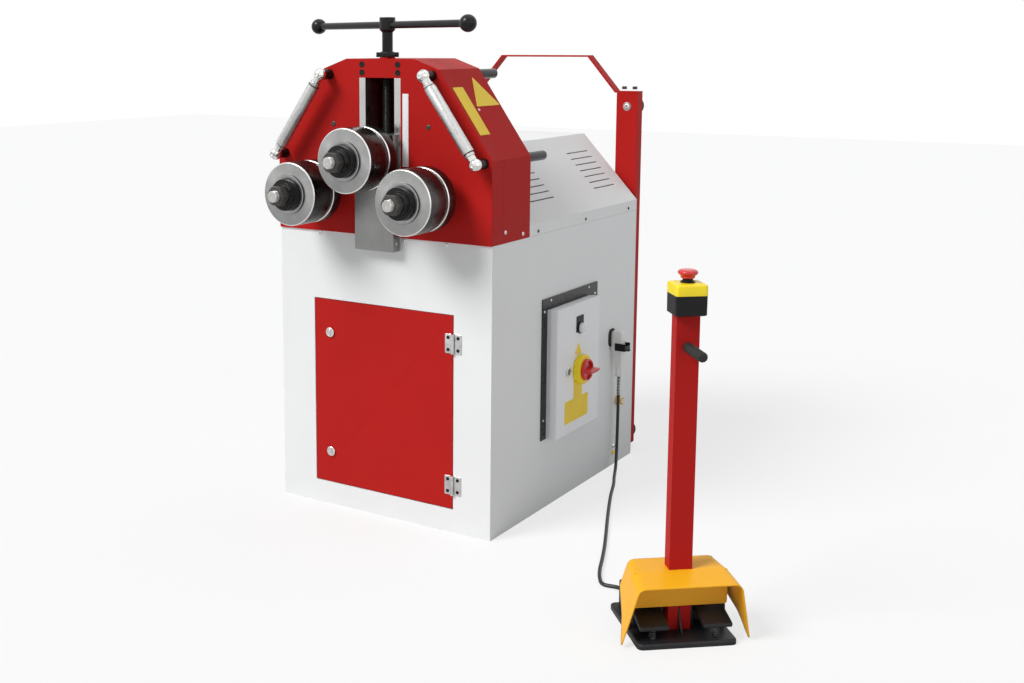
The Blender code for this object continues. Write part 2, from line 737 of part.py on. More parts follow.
def make_rear_frame(red, rubber):
    """Two box posts behind the cabinet, the strap over them and their rubber feet."""
    for name, side in (("left", -1), ("right", 1)):
        centre = side * POST_CENTRE_X
        left, right = centre - POST_WIDTH / 2, centre + POST_WIDTH / 2
        post = box((left, POST_FRONT_Y, POST_BOTTOM_Z), (right, POST_BACK_Y, POST_TOP_Z))
        lugs = [box((centre - POST_WIDTH / 4, BACK_Y + SEAT_GAP, z - LUG_HEIGHT / 2),
                    (centre + POST_WIDTH / 4, POST_FRONT_Y + POST_WALL, z + LUG_HEIGHT / 2))
                for z in LUG_CENTRES_Z]
        hollow = box((left + POST_WALL, POST_FRONT_Y + POST_WALL, POST_BOTTOM_Z - OVERRUN),
                     (right - POST_WALL, POST_BACK_Y - POST_WALL, POST_TOP_Z - POST_WALL))
        node(name + "_post", cut(fuse(post, *lugs), hollow), red, smooth=False)
        for level, z in zip(("lower", "upper"), FEET_Z):
            edge = FOOT_THICKNESS - FOOT_EDGE
            pad = [(0, FOOT_THICKNESS), (FOOT_RADIUS - FOOT_EDGE, FOOT_THICKNESS),
                   (FOOT_RADIUS, edge), (FOOT_RADIUS, 0), (0, 0)]
            node(name + "_" + level + "_foot", turned(pad, (centre, POST_BACK_Y + SEAT_GAP, z), "Y"), rubber)

    outer = POST_CENTRE_X + POST_WIDTH / 2
    foot = POST_TOP_Z + SEAT_GAP + STRAP_THICKNESS
    half = [(outer, foot), (STRAP_FOOT_X, foot), (STRAP_KNEE_X, STRAP_TOP_Z)]
    path = half + [(-x, z) for x, z in reversed(half)]
    node("rear_strap", strip(path, POST_FRONT_Y, POST_BACK_Y, STRAP_THICKNESS), red, smooth=False)


def make_drive(grey, steel):
    """Gearmotor under the hood, and the plate that carries the rear ends of the shafts."""
    gearbox = box((-GEARBOX_HALF, GEARBOX_FRONT_Y, DECK_Z),
                  (GEARBOX_HALF, GEARBOX_FRONT_Y + GEARBOX_LENGTH, GEARBOX_TOP_Z))
    rounded(gearbox, MOTOR_EDGE / 2, 1)
    end = GEARBOX_LENGTH + MOTOR_LENGTH
    outline = [(0, end), (MOTOR_RADIUS - MOTOR_EDGE, end), (MOTOR_RADIUS, end - MOTOR_EDGE),
               (MOTOR_RADIUS, GEARBOX_LENGTH - OVERRUN), (0, GEARBOX_LENGTH - OVERRUN)]
    motor = turned(outline, (0, GEARBOX_FRONT_Y, MOTOR_Z), "Y")
    node("gearmotor", fuse(gearbox, motor), grey)

    half = BEARING_PLATE_HALF
    outline = [(-half, DECK_Z), (half, DECK_Z), (half, BEARING_PLATE_TOP_Z), (-half, BEARING_PLATE_TOP_Z)]
    bores = [circle(x, LOWER_SHAFT_Z, running_bore(REAR_JOURNAL_RADIUS))
             for x in (-LOWER_SHAFT_X, 0, LOWER_SHAFT_X)]
    plate = slab([outline] + bores, BEARING_PLATE_Y, BEARING_PLATE_Y + BEARING_PLATE_THICKNESS)
    node("bearing_plate", plate, steel, smooth=False)


def gear_outline(teeth, x, z, phase):
    """Straight-flanked teeth round a pitch circle, four points a tooth."""
    pitch = GEAR_MODULE * teeth / 2
    tip = pitch + GEAR_MODULE * ADDENDUM_SHARE
    root = pitch - GEAR_MODULE * DEDENDUM_SHARE
    half = math.pi / (2 * teeth) - GEAR_BACKLASH / (2 * pitch)
    lean = math.tan(PRESSURE_ANGLE) / pitch
    points = []
    for i in range(teeth):
        middle = phase + 2 * math.pi * i / teeth
        for radius, way in ((root, -1), (tip, -1), (tip, 1), (root, 1)):
            angle = middle + way * (half - (radius - pitch) * lean)
            points.append((x + radius * math.cos(angle), z + radius * math.sin(angle)))
    return points


def gear(teeth, x, phase):
    """One gear wheel between the plates."""
    return slab([gear_outline(teeth, x, LOWER_SHAFT_Z, phase)], GEAR_FRONT_Y, GEAR_FRONT_Y + GEAR_WIDTH)


def make_roll_set(name, x, z, carrier, bright, dark, black):
    """A main roll with its face ring, the rear roll with its spacer, and the clamp nut."""
    bore = SHAFT_RADIUS + SEAT_GAP
    front = ROLL_FACE_Y
    spot = (x, front, z)
    edge = ROLL_EDGE
    outer = ROLL_RADIUS
    main = turned([(bore, ROLL_WIDTH), (outer - edge, ROLL_WIDTH), (outer, ROLL_WIDTH - edge),
                   (outer, edge), (outer - edge, 0), (RING_RADIUS, 0), (RING_RADIUS, -RING_WIDTH),
                   (WASHER_RADIUS + SEAT_GAP, -RING_WIDTH), (WASHER_RADIUS + SEAT_GAP, 0), (bore, 0)],
                  spot, "Y", ROLL_STEPS, ring=True)
    node(name + "_roll", main, bright, carrier)
    start = ROLL_WIDTH + SEAT_GAP
    rear_face = start + SPACER_WIDTH
    back = ROLL_WIDTH + SPACER_WIDTH + REAR_ROLL_WIDTH
    rear = turned([(bore, back), (outer, back), (outer, rear_face), (SPACER_RADIUS, rear_face),
                   (SPACER_RADIUS, start), (bore, start)], spot, "Y", ROLL_STEPS, ring=True)
    node(name + "_rear_roll", rear, dark, carrier)

    thread = THREAD_RADIUS + SEAT_GAP
    washer_front = -WASHER_WIDTH
    boss_front = washer_front - BOSS_WIDTH
    washer = turned([(thread, -SEAT_GAP), (WASHER_RADIUS, -SEAT_GAP), (WASHER_RADIUS, washer_front),
                     (BOSS_RADIUS, washer_front), (BOSS_RADIUS - BOSS_TAPER, boss_front),
                     (thread, boss_front)], spot, "Y", SHAFT_STEPS, ring=True)
    nut_back = front + boss_front + OVERRUN / 4
    nut = slab([circle(x, z, NUT_ACROSS_CORNERS / 2, 6), circle(x, z, thread)],
               front + boss_front - NUT_WIDTH, nut_back)
    node(name + "_nut", fuse(washer, nut), black, carrier, smooth=False)


def shaft_outline(shoulder_radius, shoulder_end, journal_radius, end):
    """Half section of a roll shaft, from its rear end to its threaded front end."""
    tip = -SHAFT_REACH
    seat = SEAT_GAP * 2
    shoulder = ROLL_BACK_Y - ROLL_FACE_Y + SEAT_GAP
    return [(0, end), (journal_radius - SHAFT_CHAMFER, end), (journal_radius, end - SHAFT_CHAMFER),
            (journal_radius, shoulder_end), (shoulder_radius, shoulder_end),
            (shoulder_radius, shoulder), (SHAFT_RADIUS, shoulder), (SHAFT_RADIUS, seat),
            (THREAD_RADIUS, seat), (THREAD_RADIUS, tip + SHAFT_CHAMFER),
            (THREAD_RADIUS - SHAFT_CHAMFER, tip), (0, tip)]


def make_lower_rolls(bright, dark, black):
    """Both driven shafts with their gears, rolls and nuts, and the pinion between them."""
    phase = math.pi / GEAR_TEETH
    for name, side in (("left", -1), ("right", 1)):
        x = side * LOWER_SHAFT_X
        axis = axis_point(name + "_shaft_axis", (x, ROLL_FACE_Y, LOWER_SHAFT_Z))
        shoulder_end = PLATE_FRONT_Y - ROLL_FACE_Y - SLIDE_GAP
        step = GEAR_FRONT_Y + GEAR_WIDTH - ROLL_FACE_Y
        end = BEARING_PLATE_Y + BEARING_PLATE_THICKNESS - ROLL_FACE_Y
        outline = shaft_outline(LOWER_SHOULDER_RADIUS, shoulder_end, SHAFT_RADIUS, step)
        journal = [(0, end), (REAR_JOURNAL_RADIUS, end), (REAR_JOURNAL_RADIUS, step)]
        shaft = turned(journal + outline[1:], (x, ROLL_FACE_Y, LOWER_SHAFT_Z), "Y")
        node(name + "_shaft", fuse(shaft, gear(GEAR_TEETH, x, phase)), bright, axis, smooth=False)
        make_roll_set(name, x, LOWER_SHAFT_Z, axis, bright, dark, black)

    axis = axis_point("pinion_axis", (0, GEAR_FRONT_Y, LOWER_SHAFT_Z))
    end = GEARBOX_FRONT_Y - GEAR_FRONT_Y - SEAT_GAP
    shaft = rod(REAR_JOURNAL_RADIUS, -OVERRUN, end, (0, GEAR_FRONT_Y, LOWER_SHAFT_Z), "Y")
    node("drive_pinion", fuse(shaft, gear(PINION_TEETH, 0, 0)), dark, axis, smooth=False)


def make_slider(grey, bright, dark, black):
    """The slider between the rails with its pointer, the upper shaft and its roll set."""
    axis = axis_point("slider_axis", (0, SPINDLE_Y, SLIDER_TOP_Z))
    face = PLATE_FRONT_Y - SLIDE_GAP
    front = face - SLIDER_THICKNESS
    back = PLATE_BACK_Y + SLIDE_GAP
    tongue_half = WINDOW_HALF - RAIL_WIDTH - SLIDE_GAP
    body = box((-SLIDER_HALF, front, SLIDER_BOTTOM_Z), (SLIDER_HALF, face, SLIDER_TOP_Z))
    tongue = box((-tongue_half, front + SLIDER_THICKNESS / 2, TONGUE_BOTTOM_Z),
                 (tongue_half, back + KEEPER_THICKNESS / 2, SLIDER_TOP_Z))
    keeper = box((-KEEPER_HALF, back, TONGUE_BOTTOM_Z),
                 (KEEPER_HALF, back + KEEPER_THICKNESS, SLIDER_TOP_Z))
    length = back + KEEPER_THICKNESS - front
    bore = rod(running_bore(UPPER_JOURNAL_RADIUS), -OVERRUN, length + OVERRUN,
               (0, front, UPPER_SHAFT_Z), "Y")
    neck = rod(running_bore(SPINDLE_RADIUS), SPINDLE_COLLAR_Z, SLIDER_TOP_Z + OVERRUN,
               (0, SPINDLE_Y, 0))
    pocket = rod(running_bore(SPINDLE_COLLAR_RADIUS), SPINDLE_COLLAR_Z - SLIDE_GAP,
                 SPINDLE_COLLAR_Z + SPINDLE_COLLAR_HEIGHT + SLIDE_GAP, (0, SPINDLE_Y, 0))
    tip = SLIDER_HALF + POINTER_REACH
    root = SLIDER_HALF - POINTER_THICKNESS
    pointer = slab([[(root, POINTER_Z - POINTER_HALF), (SLIDER_HALF, POINTER_Z - POINTER_HALF),
                     (tip, POINTER_Z), (SLIDER_HALF, POINTER_Z + POINTER_HALF),
                     (root, POINTER_Z + POINTER_HALF)]],
                   face - POINTER_PROUD - POINTER_THICKNESS, face - POINTER_PROUD)
    block = cut(fuse(body, tongue, keeper, pointer), bore, neck, pocket)
    node("slider", block, grey, axis, smooth=False)

    turn = axis_point("upper_shaft_axis", (0, ROLL_FACE_Y, UPPER_SHAFT_Z), 0.0, axis)
    shoulder_end = front - ROLL_FACE_Y - SLIDE_GAP
    end = back + KEEPER_THICKNESS - ROLL_FACE_Y
    outline = shaft_outline(UPPER_SHOULDER_RADIUS, shoulder_end, UPPER_JOURNAL_RADIUS, end)
    node("upper_shaft", turned(outline, (0, ROLL_FACE_Y, UPPER_SHAFT_Z), "Y"), bright, turn)
    make_roll_set("upper", 0, UPPER_SHAFT_Z, turn, bright, dark, black)
    return axis


def make_spindle(slider_axis, black):
    """Spindle with its hub and ball-ended bar, and the lugged lock nut."""
    axis = axis_point("spindle_axis", (0, SPINDLE_Y, SLIDER_TOP_Z), 0.0, slider_axis)
    collar_top = SPINDLE_COLLAR_Z + SPINDLE_COLLAR_HEIGHT
    outline = [(0, HUB_TOP_Z), (HUB_RADIUS, HUB_TOP_Z), (HUB_RADIUS, HUB_BOTTOM_Z + HUB_TAPER),
               (SPINDLE_RADIUS, HUB_BOTTOM_Z), (SPINDLE_RADIUS, collar_top),
               (SPINDLE_COLLAR_RADIUS, collar_top), (SPINDLE_COLLAR_RADIUS, SPINDLE_COLLAR_Z),
               (0, SPINDLE_COLLAR_Z)]
    spindle = turned(outline, (0, SPINDLE_Y, 0))
    waist = math.asin(HANDLE_BAR_RADIUS / HANDLE_BALL_RADIUS)
    top = ball_outline(HANDLE_BALL_RADIUS, HANDLE_REACH, 0, math.pi - waist)
    low = ball_outline(HANDLE_BALL_RADIUS, -HANDLE_REACH, waist, math.pi)
    top[0] = (0, top[0][1])
    low[-1] = (0, low[-1][1])
    bar = turned(top + low, steps=SHAFT_STEPS)
    bar.matrix_world = (Matrix.Translation((0, SPINDLE_Y, HANDLE_Z)) @ Matrix.Rotation(HANDLE_TURN, 4, "Z")
                        @ Matrix.Rotation(math.pi / 2, 4, "Y"))
    node("spindle", fuse(spindle, bar), black, axis, smooth=False)

    nut_axis = axis_point("lock_nut_axis", (0, SPINDLE_Y, HEAD_TOP_Z))
    low_z = HEAD_TOP_Z + COLLAR_HEIGHT + SEAT_GAP
    lug = math.asin(LUG_WIDTH / 2 / LUG_REACH)
    root = math.asin(LUG_WIDTH / 2 / LOCK_NUT_RADIUS)
    points = []
    for i in range(4):
        middle = math.pi / 2 * i + math.pi / 4
        for radius, angle in ((LOCK_NUT_RADIUS, -root), (LUG_REACH, -lug), (LUG_REACH, lug),
                              (LOCK_NUT_RADIUS, root), (LOCK_NUT_RADIUS, math.pi / 4)):
            points.append((radius * math.cos(middle + angle),
                           SPINDLE_Y + radius * math.sin(middle + angle)))
    hole = circle(0, SPINDLE_Y, running_bore(SPINDLE_RADIUS))
    nut = slab([points, hole], low_z, low_z + LOCK_NUT_HEIGHT, "Z")
    node("lock_nut", nut, black, nut_axis, smooth=False)


def make_guides(bright, black):
    """The two side guides: rods through the head with a ball-ended axle, and the roller on it."""
    for name, side in (("left", -1), ("right", 1)):
        top = Vector((side * GUIDE_TOP_X, GUIDE_Y, GUIDE_TOP_Z))
        low = Vector((side * GUIDE_LOW_X, GUIDE_Y, GUIDE_LOW_Z))
        axis = axis_point(name + "_guide_axis", (top + low) / 2)
        half = (low - top).length / 2
        neck = half - GUIDE_ROLLER_INSET + SEAT_GAP
        waist = math.asin(GUIDE_NECK_RADIUS / GUIDE_BALL_RADIUS)
        upper = ball_outline(GUIDE_BALL_RADIUS, half, 0, math.pi - waist, 6)
        lower = ball_outline(GUIDE_BALL_RADIUS, -half, waist, math.pi, 6)
        upper[0] = (0, upper[0][1])
        lower[-1] = (0, lower[-1][1])
        middle = [(GUIDE_NECK_RADIUS, neck), (GUIDE_AXLE_RADIUS, neck),
                  (GUIDE_AXLE_RADIUS, -neck), (GUIDE_NECK_RADIUS, -neck)]
        lie = (top - low).to_track_quat("Z", "Y").to_matrix().to_4x4()
        frame = Matrix.Translation((top + low) / 2) @ lie
        axle = turned(upper + middle + lower, steps=SMALL_STEPS)
        axle.matrix_world = frame
        rods = [rod(GUIDE_ROD_RADIUS, 0, GUIDE_FACE + GUIDE_ROD_END, spot, "Y") for spot in (top, low)]
        node(name + "_guide", fuse(axle, *rods), black, axis, smooth=False)
        reach = half - GUIDE_ROLLER_INSET
        bore = running_bore(GUIDE_AXLE_RADIUS, SMALL_STEPS)
        roller = turned([(bore, reach), (GUIDE_ROLLER_RADIUS, reach), (GUIDE_ROLLER_RADIUS, -reach),
                         (bore, -reach)], steps=SHAFT_STEPS, ring=True)
        roller.matrix_world = frame
        node(name + "_guide_roller", roller, bright, axis)


def knuckle(z_low, z_high):
    """One hinge knuckle round the pin, on the door's hinge line."""
    x, y = door_hinge_line()
    return tube_ring(HINGE_PIN_RADIUS + SEAT_GAP, HINGE_BARREL_RADIUS, z_low, z_high, (x, y, 0),
                     steps=SMALL_STEPS)


def door_hinge_line():
    """Where the door's hinge pins stand, as (x, y)."""
    return DOOR_HALF + DOOR_GAP / 2, FRONT_Y - HINGE_BARREL_OFFSET


def make_door(red, bright):
    """The door tray with its hinge leaves, the fixed leaves with their pins, and the latches."""
    hinge_x, hinge_y = door_hinge_line()
    axis = axis_point("door_axis", (hinge_x, hinge_y, (DOOR_BOTTOM_Z + DOOR_TOP_Z) / 2))
    tray = box((-DOOR_HALF, FRONT_Y, DOOR_BOTTOM_Z), (DOOR_HALF, FRONT_Y + DOOR_FLANGE, DOOR_TOP_Z))
    hollow = box((-DOOR_HALF + DOOR_SHEET, FRONT_Y + DOOR_SHEET, DOOR_BOTTOM_Z + DOOR_SHEET),
                 (DOOR_HALF - DOOR_SHEET, FRONT_Y + DOOR_FLANGE + OVERRUN, DOOR_TOP_Z - DOOR_SHEET))
    holes = [rod(running_bore(LATCH_STEM_RADIUS, SMALL_STEPS), -OVERRUN, OVERRUN / 2,
                 (-LATCH_X, FRONT_Y, z), "Y", SMALL_STEPS) for z in LATCHES_Z]
    third = HINGE_HEIGHT / 3
    leaf_y = FRONT_Y - HINGE_LEAF_THICKNESS
    flaps = []
    for name, z in zip(("lower", "upper"), HINGE_CENTRES_Z):
        low, high = z - HINGE_HEIGHT / 2, z + HINGE_HEIGHT / 2
        far = hinge_x - SHEET / 2
        flap = box((far - HINGE_LEAF, leaf_y, low), (far, FRONT_Y + DOOR_SHEET / 2, high))
        notches = [rod(HINGE_BARREL_RADIUS + SEAT_GAP, start, end, (hinge_x, hinge_y, 0),
                       steps=SMALL_STEPS)
                   for start, end in ((low - OVERRUN, low + third), (high - third, high + OVERRUN))]
        flaps += [cut(flap, *notches), knuckle(low + third + SEAT_GAP, high - third - SEAT_GAP)]
        near = hinge_x + SHEET / 2
        leaf = box((near, leaf_y - SEAT_GAP, low), (near + HINGE_LEAF, FRONT_Y - SEAT_GAP, high))
        clear = rod(HINGE_BARREL_RADIUS + SEAT_GAP, low + third, high - third,
                    (hinge_x, hinge_y, 0), steps=SMALL_STEPS)
        ends = [rod(HINGE_BARREL_RADIUS, start, end, (hinge_x, hinge_y, 0), steps=SMALL_STEPS)
                for start, end in ((low, low + third - SEAT_GAP), (high - third + SEAT_GAP, high))]
        pin = rod(HINGE_PIN_RADIUS, low, high, (hinge_x, hinge_y, 0), steps=SMALL_STEPS)
        node(name + "_hinge", fuse(cut(leaf, clear), *ends, pin), bright, smooth=False)
    node("door", fuse(cut(tray, hollow, *holes), *flaps), red, axis, smooth=False)

    for name, z in zip(("lower", "upper"), LATCHES_Z):
        turn = axis_point(name + "_latch_axis", (-LATCH_X, FRONT_Y, z), 0.0, axis)
        cam_front = DOOR_FLANGE + SLIDE_GAP
        cam_y = cam_front + LATCH_CAM_THICKNESS / 2
        outline = [(0, cam_y), (LATCH_STEM_RADIUS, cam_y), (LATCH_STEM_RADIUS, -SEAT_GAP),
                   (LATCH_HEAD_RADIUS, -SEAT_GAP), (LATCH_HEAD_RADIUS, -LATCH_HEAD_HEIGHT),
                   (0, -LATCH_HEAD_HEIGHT)]
        stem = turned(outline, (-LATCH_X, FRONT_Y, z), "Y", SMALL_STEPS)
        front = FRONT_Y + cam_front
        cam = box((-LATCH_X - LATCH_CAM_WIDTH / 2, front, z - LATCH_CAM_WIDTH / 2),
                  (-LATCH_X + LATCH_CAM_WIDTH / 2, front + LATCH_CAM_THICKNESS, z + LATCH_CAM_LENGTH))
        node(name + "_latch", fuse(stem, cam), bright, turn, smooth=False)


def make_control_box(white, black, red):
    """Black surround, sunk control box, its door with main switch, lamp and lock."""
    box_front, box_back = FRONT_Y + BOX_FRONT, FRONT_Y + BOX_BACK
    rim_x = SIDE_X + BOX_PROUD
    frame_low, frame_high = FRONT_Y + PANEL_FRAME_FRONT, FRONT_Y + PANEL_FRAME_BACK
    outline = [(frame_low, PANEL_FRAME_BOTTOM_Z), (frame_high, PANEL_FRAME_BOTTOM_Z),
               (frame_high, PANEL_FRAME_TOP_Z), (frame_low, PANEL_FRAME_TOP_Z)]
    gap = SEAT_GAP
    hole = [(box_front - gap, BOX_BOTTOM_Z - gap), (box_back + gap, BOX_BOTTOM_Z - gap),
            (box_back + gap, BOX_TOP_Z + gap), (box_front - gap, BOX_TOP_Z + gap)]
    surround = slab([outline, hole], SIDE_X + gap, SIDE_X + gap + SHEET, "X")
    node("panel_surround", surround, black, smooth=False)

    body = box((BOX_INSIDE_X, box_front, BOX_BOTTOM_Z), (rim_x, box_back, BOX_TOP_Z))
    hollow = box((BOX_INSIDE_X + BOX_WALL, box_front + BOX_WALL, BOX_BOTTOM_Z + BOX_WALL),
                 (rim_x + OVERRUN, box_back - BOX_WALL, BOX_TOP_Z - BOX_WALL))
    node("panel_box", cut(body, hollow), white, smooth=False)

    over = PANEL_DOOR_OVERLAP
    inner_x = rim_x + SLIDE_GAP
    outer_x = inner_x + PANEL_DOOR_DEPTH
    axis = axis_point("panel_door_axis", (inner_x, box_back + over, (BOX_BOTTOM_Z + BOX_TOP_Z) / 2))
    lid = box((inner_x, box_front - over, BOX_BOTTOM_Z - over), (outer_x, box_back + over, BOX_TOP_Z + over))
    inside = box((inner_x - OVERRUN, box_front - over + PANEL_SKIN, BOX_BOTTOM_Z - over + PANEL_SKIN),
                 (outer_x - PANEL_SKIN, box_back + over - PANEL_SKIN, BOX_TOP_Z + over - PANEL_SKIN))
    lock_hole = rod(running_bore(PANEL_LOCK_RADIUS, SMALL_STEPS), -OVERRUN, OVERRUN,
                    (outer_x, FRONT_Y + PANEL_LOCK_Y, PANEL_LOCK_Z), "X", SMALL_STEPS)
    spot = (outer_x, FRONT_Y + SWITCH_Y, SWITCH_Z)
    crown = SWITCH_PLATE_RADIUS - SWITCH_PLATE_EDGE
    plate = turned([(0, SWITCH_PLATE_HEIGHT), (crown, SWITCH_PLATE_HEIGHT),
                    (SWITCH_PLATE_RADIUS, SWITCH_PLATE_HEIGHT - SWITCH_PLATE_EDGE),
                    (SWITCH_PLATE_RADIUS, -PANEL_SKIN / 2), (0, -PANEL_SKIN / 2)], spot, "X")
    top = LAMP_COLLAR_HEIGHT + LAMP_HEIGHT
    lamp = turned([(0, top), (LAMP_RADIUS * LAMP_CROWN_SHARE, top),
                   (LAMP_RADIUS, LAMP_COLLAR_HEIGHT + LAMP_HEIGHT / 2),
                   (LAMP_RADIUS, LAMP_COLLAR_HEIGHT), (LAMP_COLLAR_RADIUS, LAMP_COLLAR_HEIGHT),
                   (LAMP_COLLAR_RADIUS, -PANEL_SKIN / 2), (0, -PANEL_SKIN / 2)],
                  (outer_x, FRONT_Y + SWITCH_Y, LAMP_Z), "X")
    node("panel_door", fuse(cut(lid, inside, lock_hole), plate, lamp), white, axis, smooth=False)

    dial_x = SWITCH_PLATE_HEIGHT + SEAT_GAP
    turn = axis_point("switch_axis", spot, 0.0, axis)
    dial = rod(SWITCH_DIAL_RADIUS, dial_x, dial_x + SWITCH_DIAL_HEIGHT, spot, "X")
    grip_start = spot[0] + dial_x + SWITCH_DIAL_HEIGHT / 2
    grip = box((grip_start, spot[1] - SWITCH_GRIP_LENGTH / 2, SWITCH_Z - SWITCH_GRIP_WIDTH / 2),
               (grip_start + SWITCH_GRIP_HEIGHT, spot[1] + SWITCH_GRIP_LENGTH / 2,
                SWITCH_Z + SWITCH_GRIP_WIDTH / 2))
    node("switch_handle", fuse(dial, grip), red, turn, smooth=False)

    lock_spot = (outer_x, FRONT_Y + PANEL_LOCK_Y, PANEL_LOCK_Z)
    lock_axis = axis_point("panel_lock_axis", lock_spot, 0.0, axis)
    stem = rod(PANEL_LOCK_RADIUS, -PANEL_SKIN * 4, PANEL_LOCK_HEIGHT, lock_spot, "X", SMALL_STEPS)
    cam_x = outer_x - PANEL_SKIN * 4
    cam = box((cam_x - PANEL_SKIN, lock_spot[1] - PANEL_CAM_WIDTH / 2, PANEL_LOCK_Z - PANEL_CAM_WIDTH / 2),
              (cam_x + PANEL_SKIN, lock_spot[1] + PANEL_CAM_WIDTH / 2, PANEL_LOCK_Z + PANEL_CAM_LENGTH))
    node("panel_lock", fuse(stem, cam), black, lock_axis, smooth=False)


def smooth_route(points, step):
    """Points at an even step along a smooth curve through the route's own points."""
    ends = [points[0] * 2 - points[1]] + points + [points[-1] * 2 - points[-2]]
    fine = []
    for i in range(1, len(ends) - 2):
        a, b, c, d = ends[i - 1:i + 3]
        for k in range(20):
            t = k / 20
            fine.append(0.5 * (b * 2 + (c - a) * t + (a * 2 - b * 5 + c * 4 - d) * t * t
                               + (b * 3 - a - c * 3 + d) * t * t * t))
    fine.append(points[-1])
    total = sum((q - p).length for p, q in zip(fine, fine[1:]))
    count = round(total / step)
    even = [fine[0]]
    travelled = 0.0
    for p, q in zip(fine, fine[1:]):
        length = (q - p).length
        while len(even) < count and travelled + length >= total / count * len(even):
            share = (total / count * len(even) - travelled) / length
            even.append(p.lerp(q, share))
        travelled += length
    even.append(fine[-1])
    return even, total


def column_frame():
    """The pedal column's own frame in the world."""
    return Matrix.Translation((COLUMN_X, COLUMN_Y, 0)) @ Matrix.Rotation(COLUMN_TURN, 4, "Z")


def make_connector(white, black, bright):
    """Wall socket with its locking lever, the plug with its gland, and the anti-kink spring."""
    y = FRONT_Y + CORD_Y
    wall = SIDE_X + SEAT_GAP
    socket = box((wall, y - SOCKET_HALF, SOCKET_BOTTOM_Z), (SOCKET_OUTER_X, y + SOCKET_HALF, SOCKET_TOP_Z))
    node("pedal_socket", rounded(socket, SHEET, 1), white, smooth=False)

    plug_top = SOCKET_BOTTOM_Z - SEAT_GAP
    plug = box((CORD_X - PLUG_HALF, y - PLUG_HALF, PLUG_BOTTOM_Z), (CORD_X + PLUG_HALF, y + PLUG_HALF, plug_top))
    gland = rod(PLUG_GLAND_RADIUS, PLUG_GLAND_BOTTOM_Z, PLUG_BOTTOM_Z + SHEET, (CORD_X, y, 0),
                steps=SMALL_STEPS)
    node("pedal_plug", fuse(rounded(plug, SHEET / 2, 1), gland), white, smooth=False)

    axis = axis_point("lever_axis", (CORD_X, y, LEVER_Z))
    outer = SOCKET_HALF + SLIDE_GAP
    arm_low = LEVER_Z - LEVER_DROP
    arm_x = CORD_X - LEVER_WIDTH
    corner = math.hypot(SOCKET_OUTER_X - CORD_X, LEVER_Z - SOCKET_BOTTOM_Z)
    front_x = CORD_X + corner + SLIDE_GAP
    tip_x = front_x + LEVER_REACH
    bridge = box((front_x, y - outer - LEVER_THICKNESS, arm_low), (front_x + LEVER_THICKNESS,
                 y + outer + LEVER_THICKNESS, LEVER_Z))
    thumb = box((front_x, y - LEVER_WIDTH, arm_low), (tip_x, y + LEVER_WIDTH, arm_low + LEVER_THICKNESS))
    arms = [box((arm_x, y + side * outer, arm_low), (front_x + LEVER_THICKNESS,
                y + side * (outer + LEVER_THICKNESS), LEVER_Z + LEVER_WIDTH)) for side in (1,)]
    arms += [box((arm_x, y - outer - LEVER_THICKNESS, arm_low), (front_x + LEVER_THICKNESS,
                 y - outer, LEVER_Z + LEVER_WIDTH))]
    node("socket_lever", fuse(bridge, thumb, *arms), black, axis, smooth=False)

    coil_radius = CORD_DIAMETER / 2 + SEAT_GAP + SPRING_WIRE / 2
    top = PLUG_GLAND_BOTTOM_Z - SEAT_GAP - SPRING_WIRE / 2
    drop = top - SPRING_BOTTOM_Z
    count = SPRING_TURNS * SPRING_POINTS_A_TURN
    points = [(CORD_X + coil_radius * math.cos(2 * math.pi * i / SPRING_POINTS_A_TURN),
               y + coil_radius * math.sin(2 * math.pi * i / SPRING_POINTS_A_TURN),
               top - drop * i / count) for i in range(count + 1)]
    least = drop / SPRING_TURNS - SPRING_WIRE
    print("kink spring least gap between turns", round(least, 5))
    node("kink_spring", wire(points, SPRING_WIRE / 2, 1), bright)


def make_cord(black):
    """The pedal cord: down from the plug, over the floor, and into the pedal base."""
    frame = column_frame()
    mouth_v = PEDAL_BASE_BACK + CORD_GLAND_LENGTH + SEAT_GAP
    mouth = frame @ Vector((CORD_GLAND_U, mouth_v, CORD_GLAND_Z))
    near = frame @ Vector((CORD_GLAND_U, mouth_v + CORD_DIAMETER * CORD_STEP_DIAMETERS, CORD_GLAND_Z))
    lead = frame @ Vector((CORD_GLAND_U, mouth_v + CORD_LEAD, CORD_GLAND_Z / 2))
    start = Vector((CORD_X, FRONT_Y + CORD_Y, PLUG_GLAND_BOTTOM_Z - SEAT_GAP))
    route = [Vector((x, FRONT_Y + y, z)) for x, y, z in CORD_FLOOR_ROUTE]
    points, length = smooth_route([start] + route + [lead, near, mouth], CORD_DIAMETER * CORD_STEP_DIAMETERS)
    print("cord length", round(length, 4), "points", len(points))
    node("pedal_cord", wire(points, CORD_DIAMETER / 2, 2), black)


def guard_section(v, half, top_z, low_half, low_z):
    """Half section of the guard at one v: top middle, round shoulder, then the wing down."""
    lean = math.atan2(low_half - half, top_z - low_z)
    sweep = math.pi / 2 - lean
    centre_u = half - GUARD_ROUND
    centre_z = top_z - GUARD_ROUND
    points = [(0, v, top_z)]
    for i in range(4):
        angle = math.pi / 2 - sweep * i / 3
        points.append((centre_u + GUARD_ROUND * math.cos(angle), v, centre_z + GUARD_ROUND * math.sin(angle)))
    points.append((low_half, v, low_z))
    return points


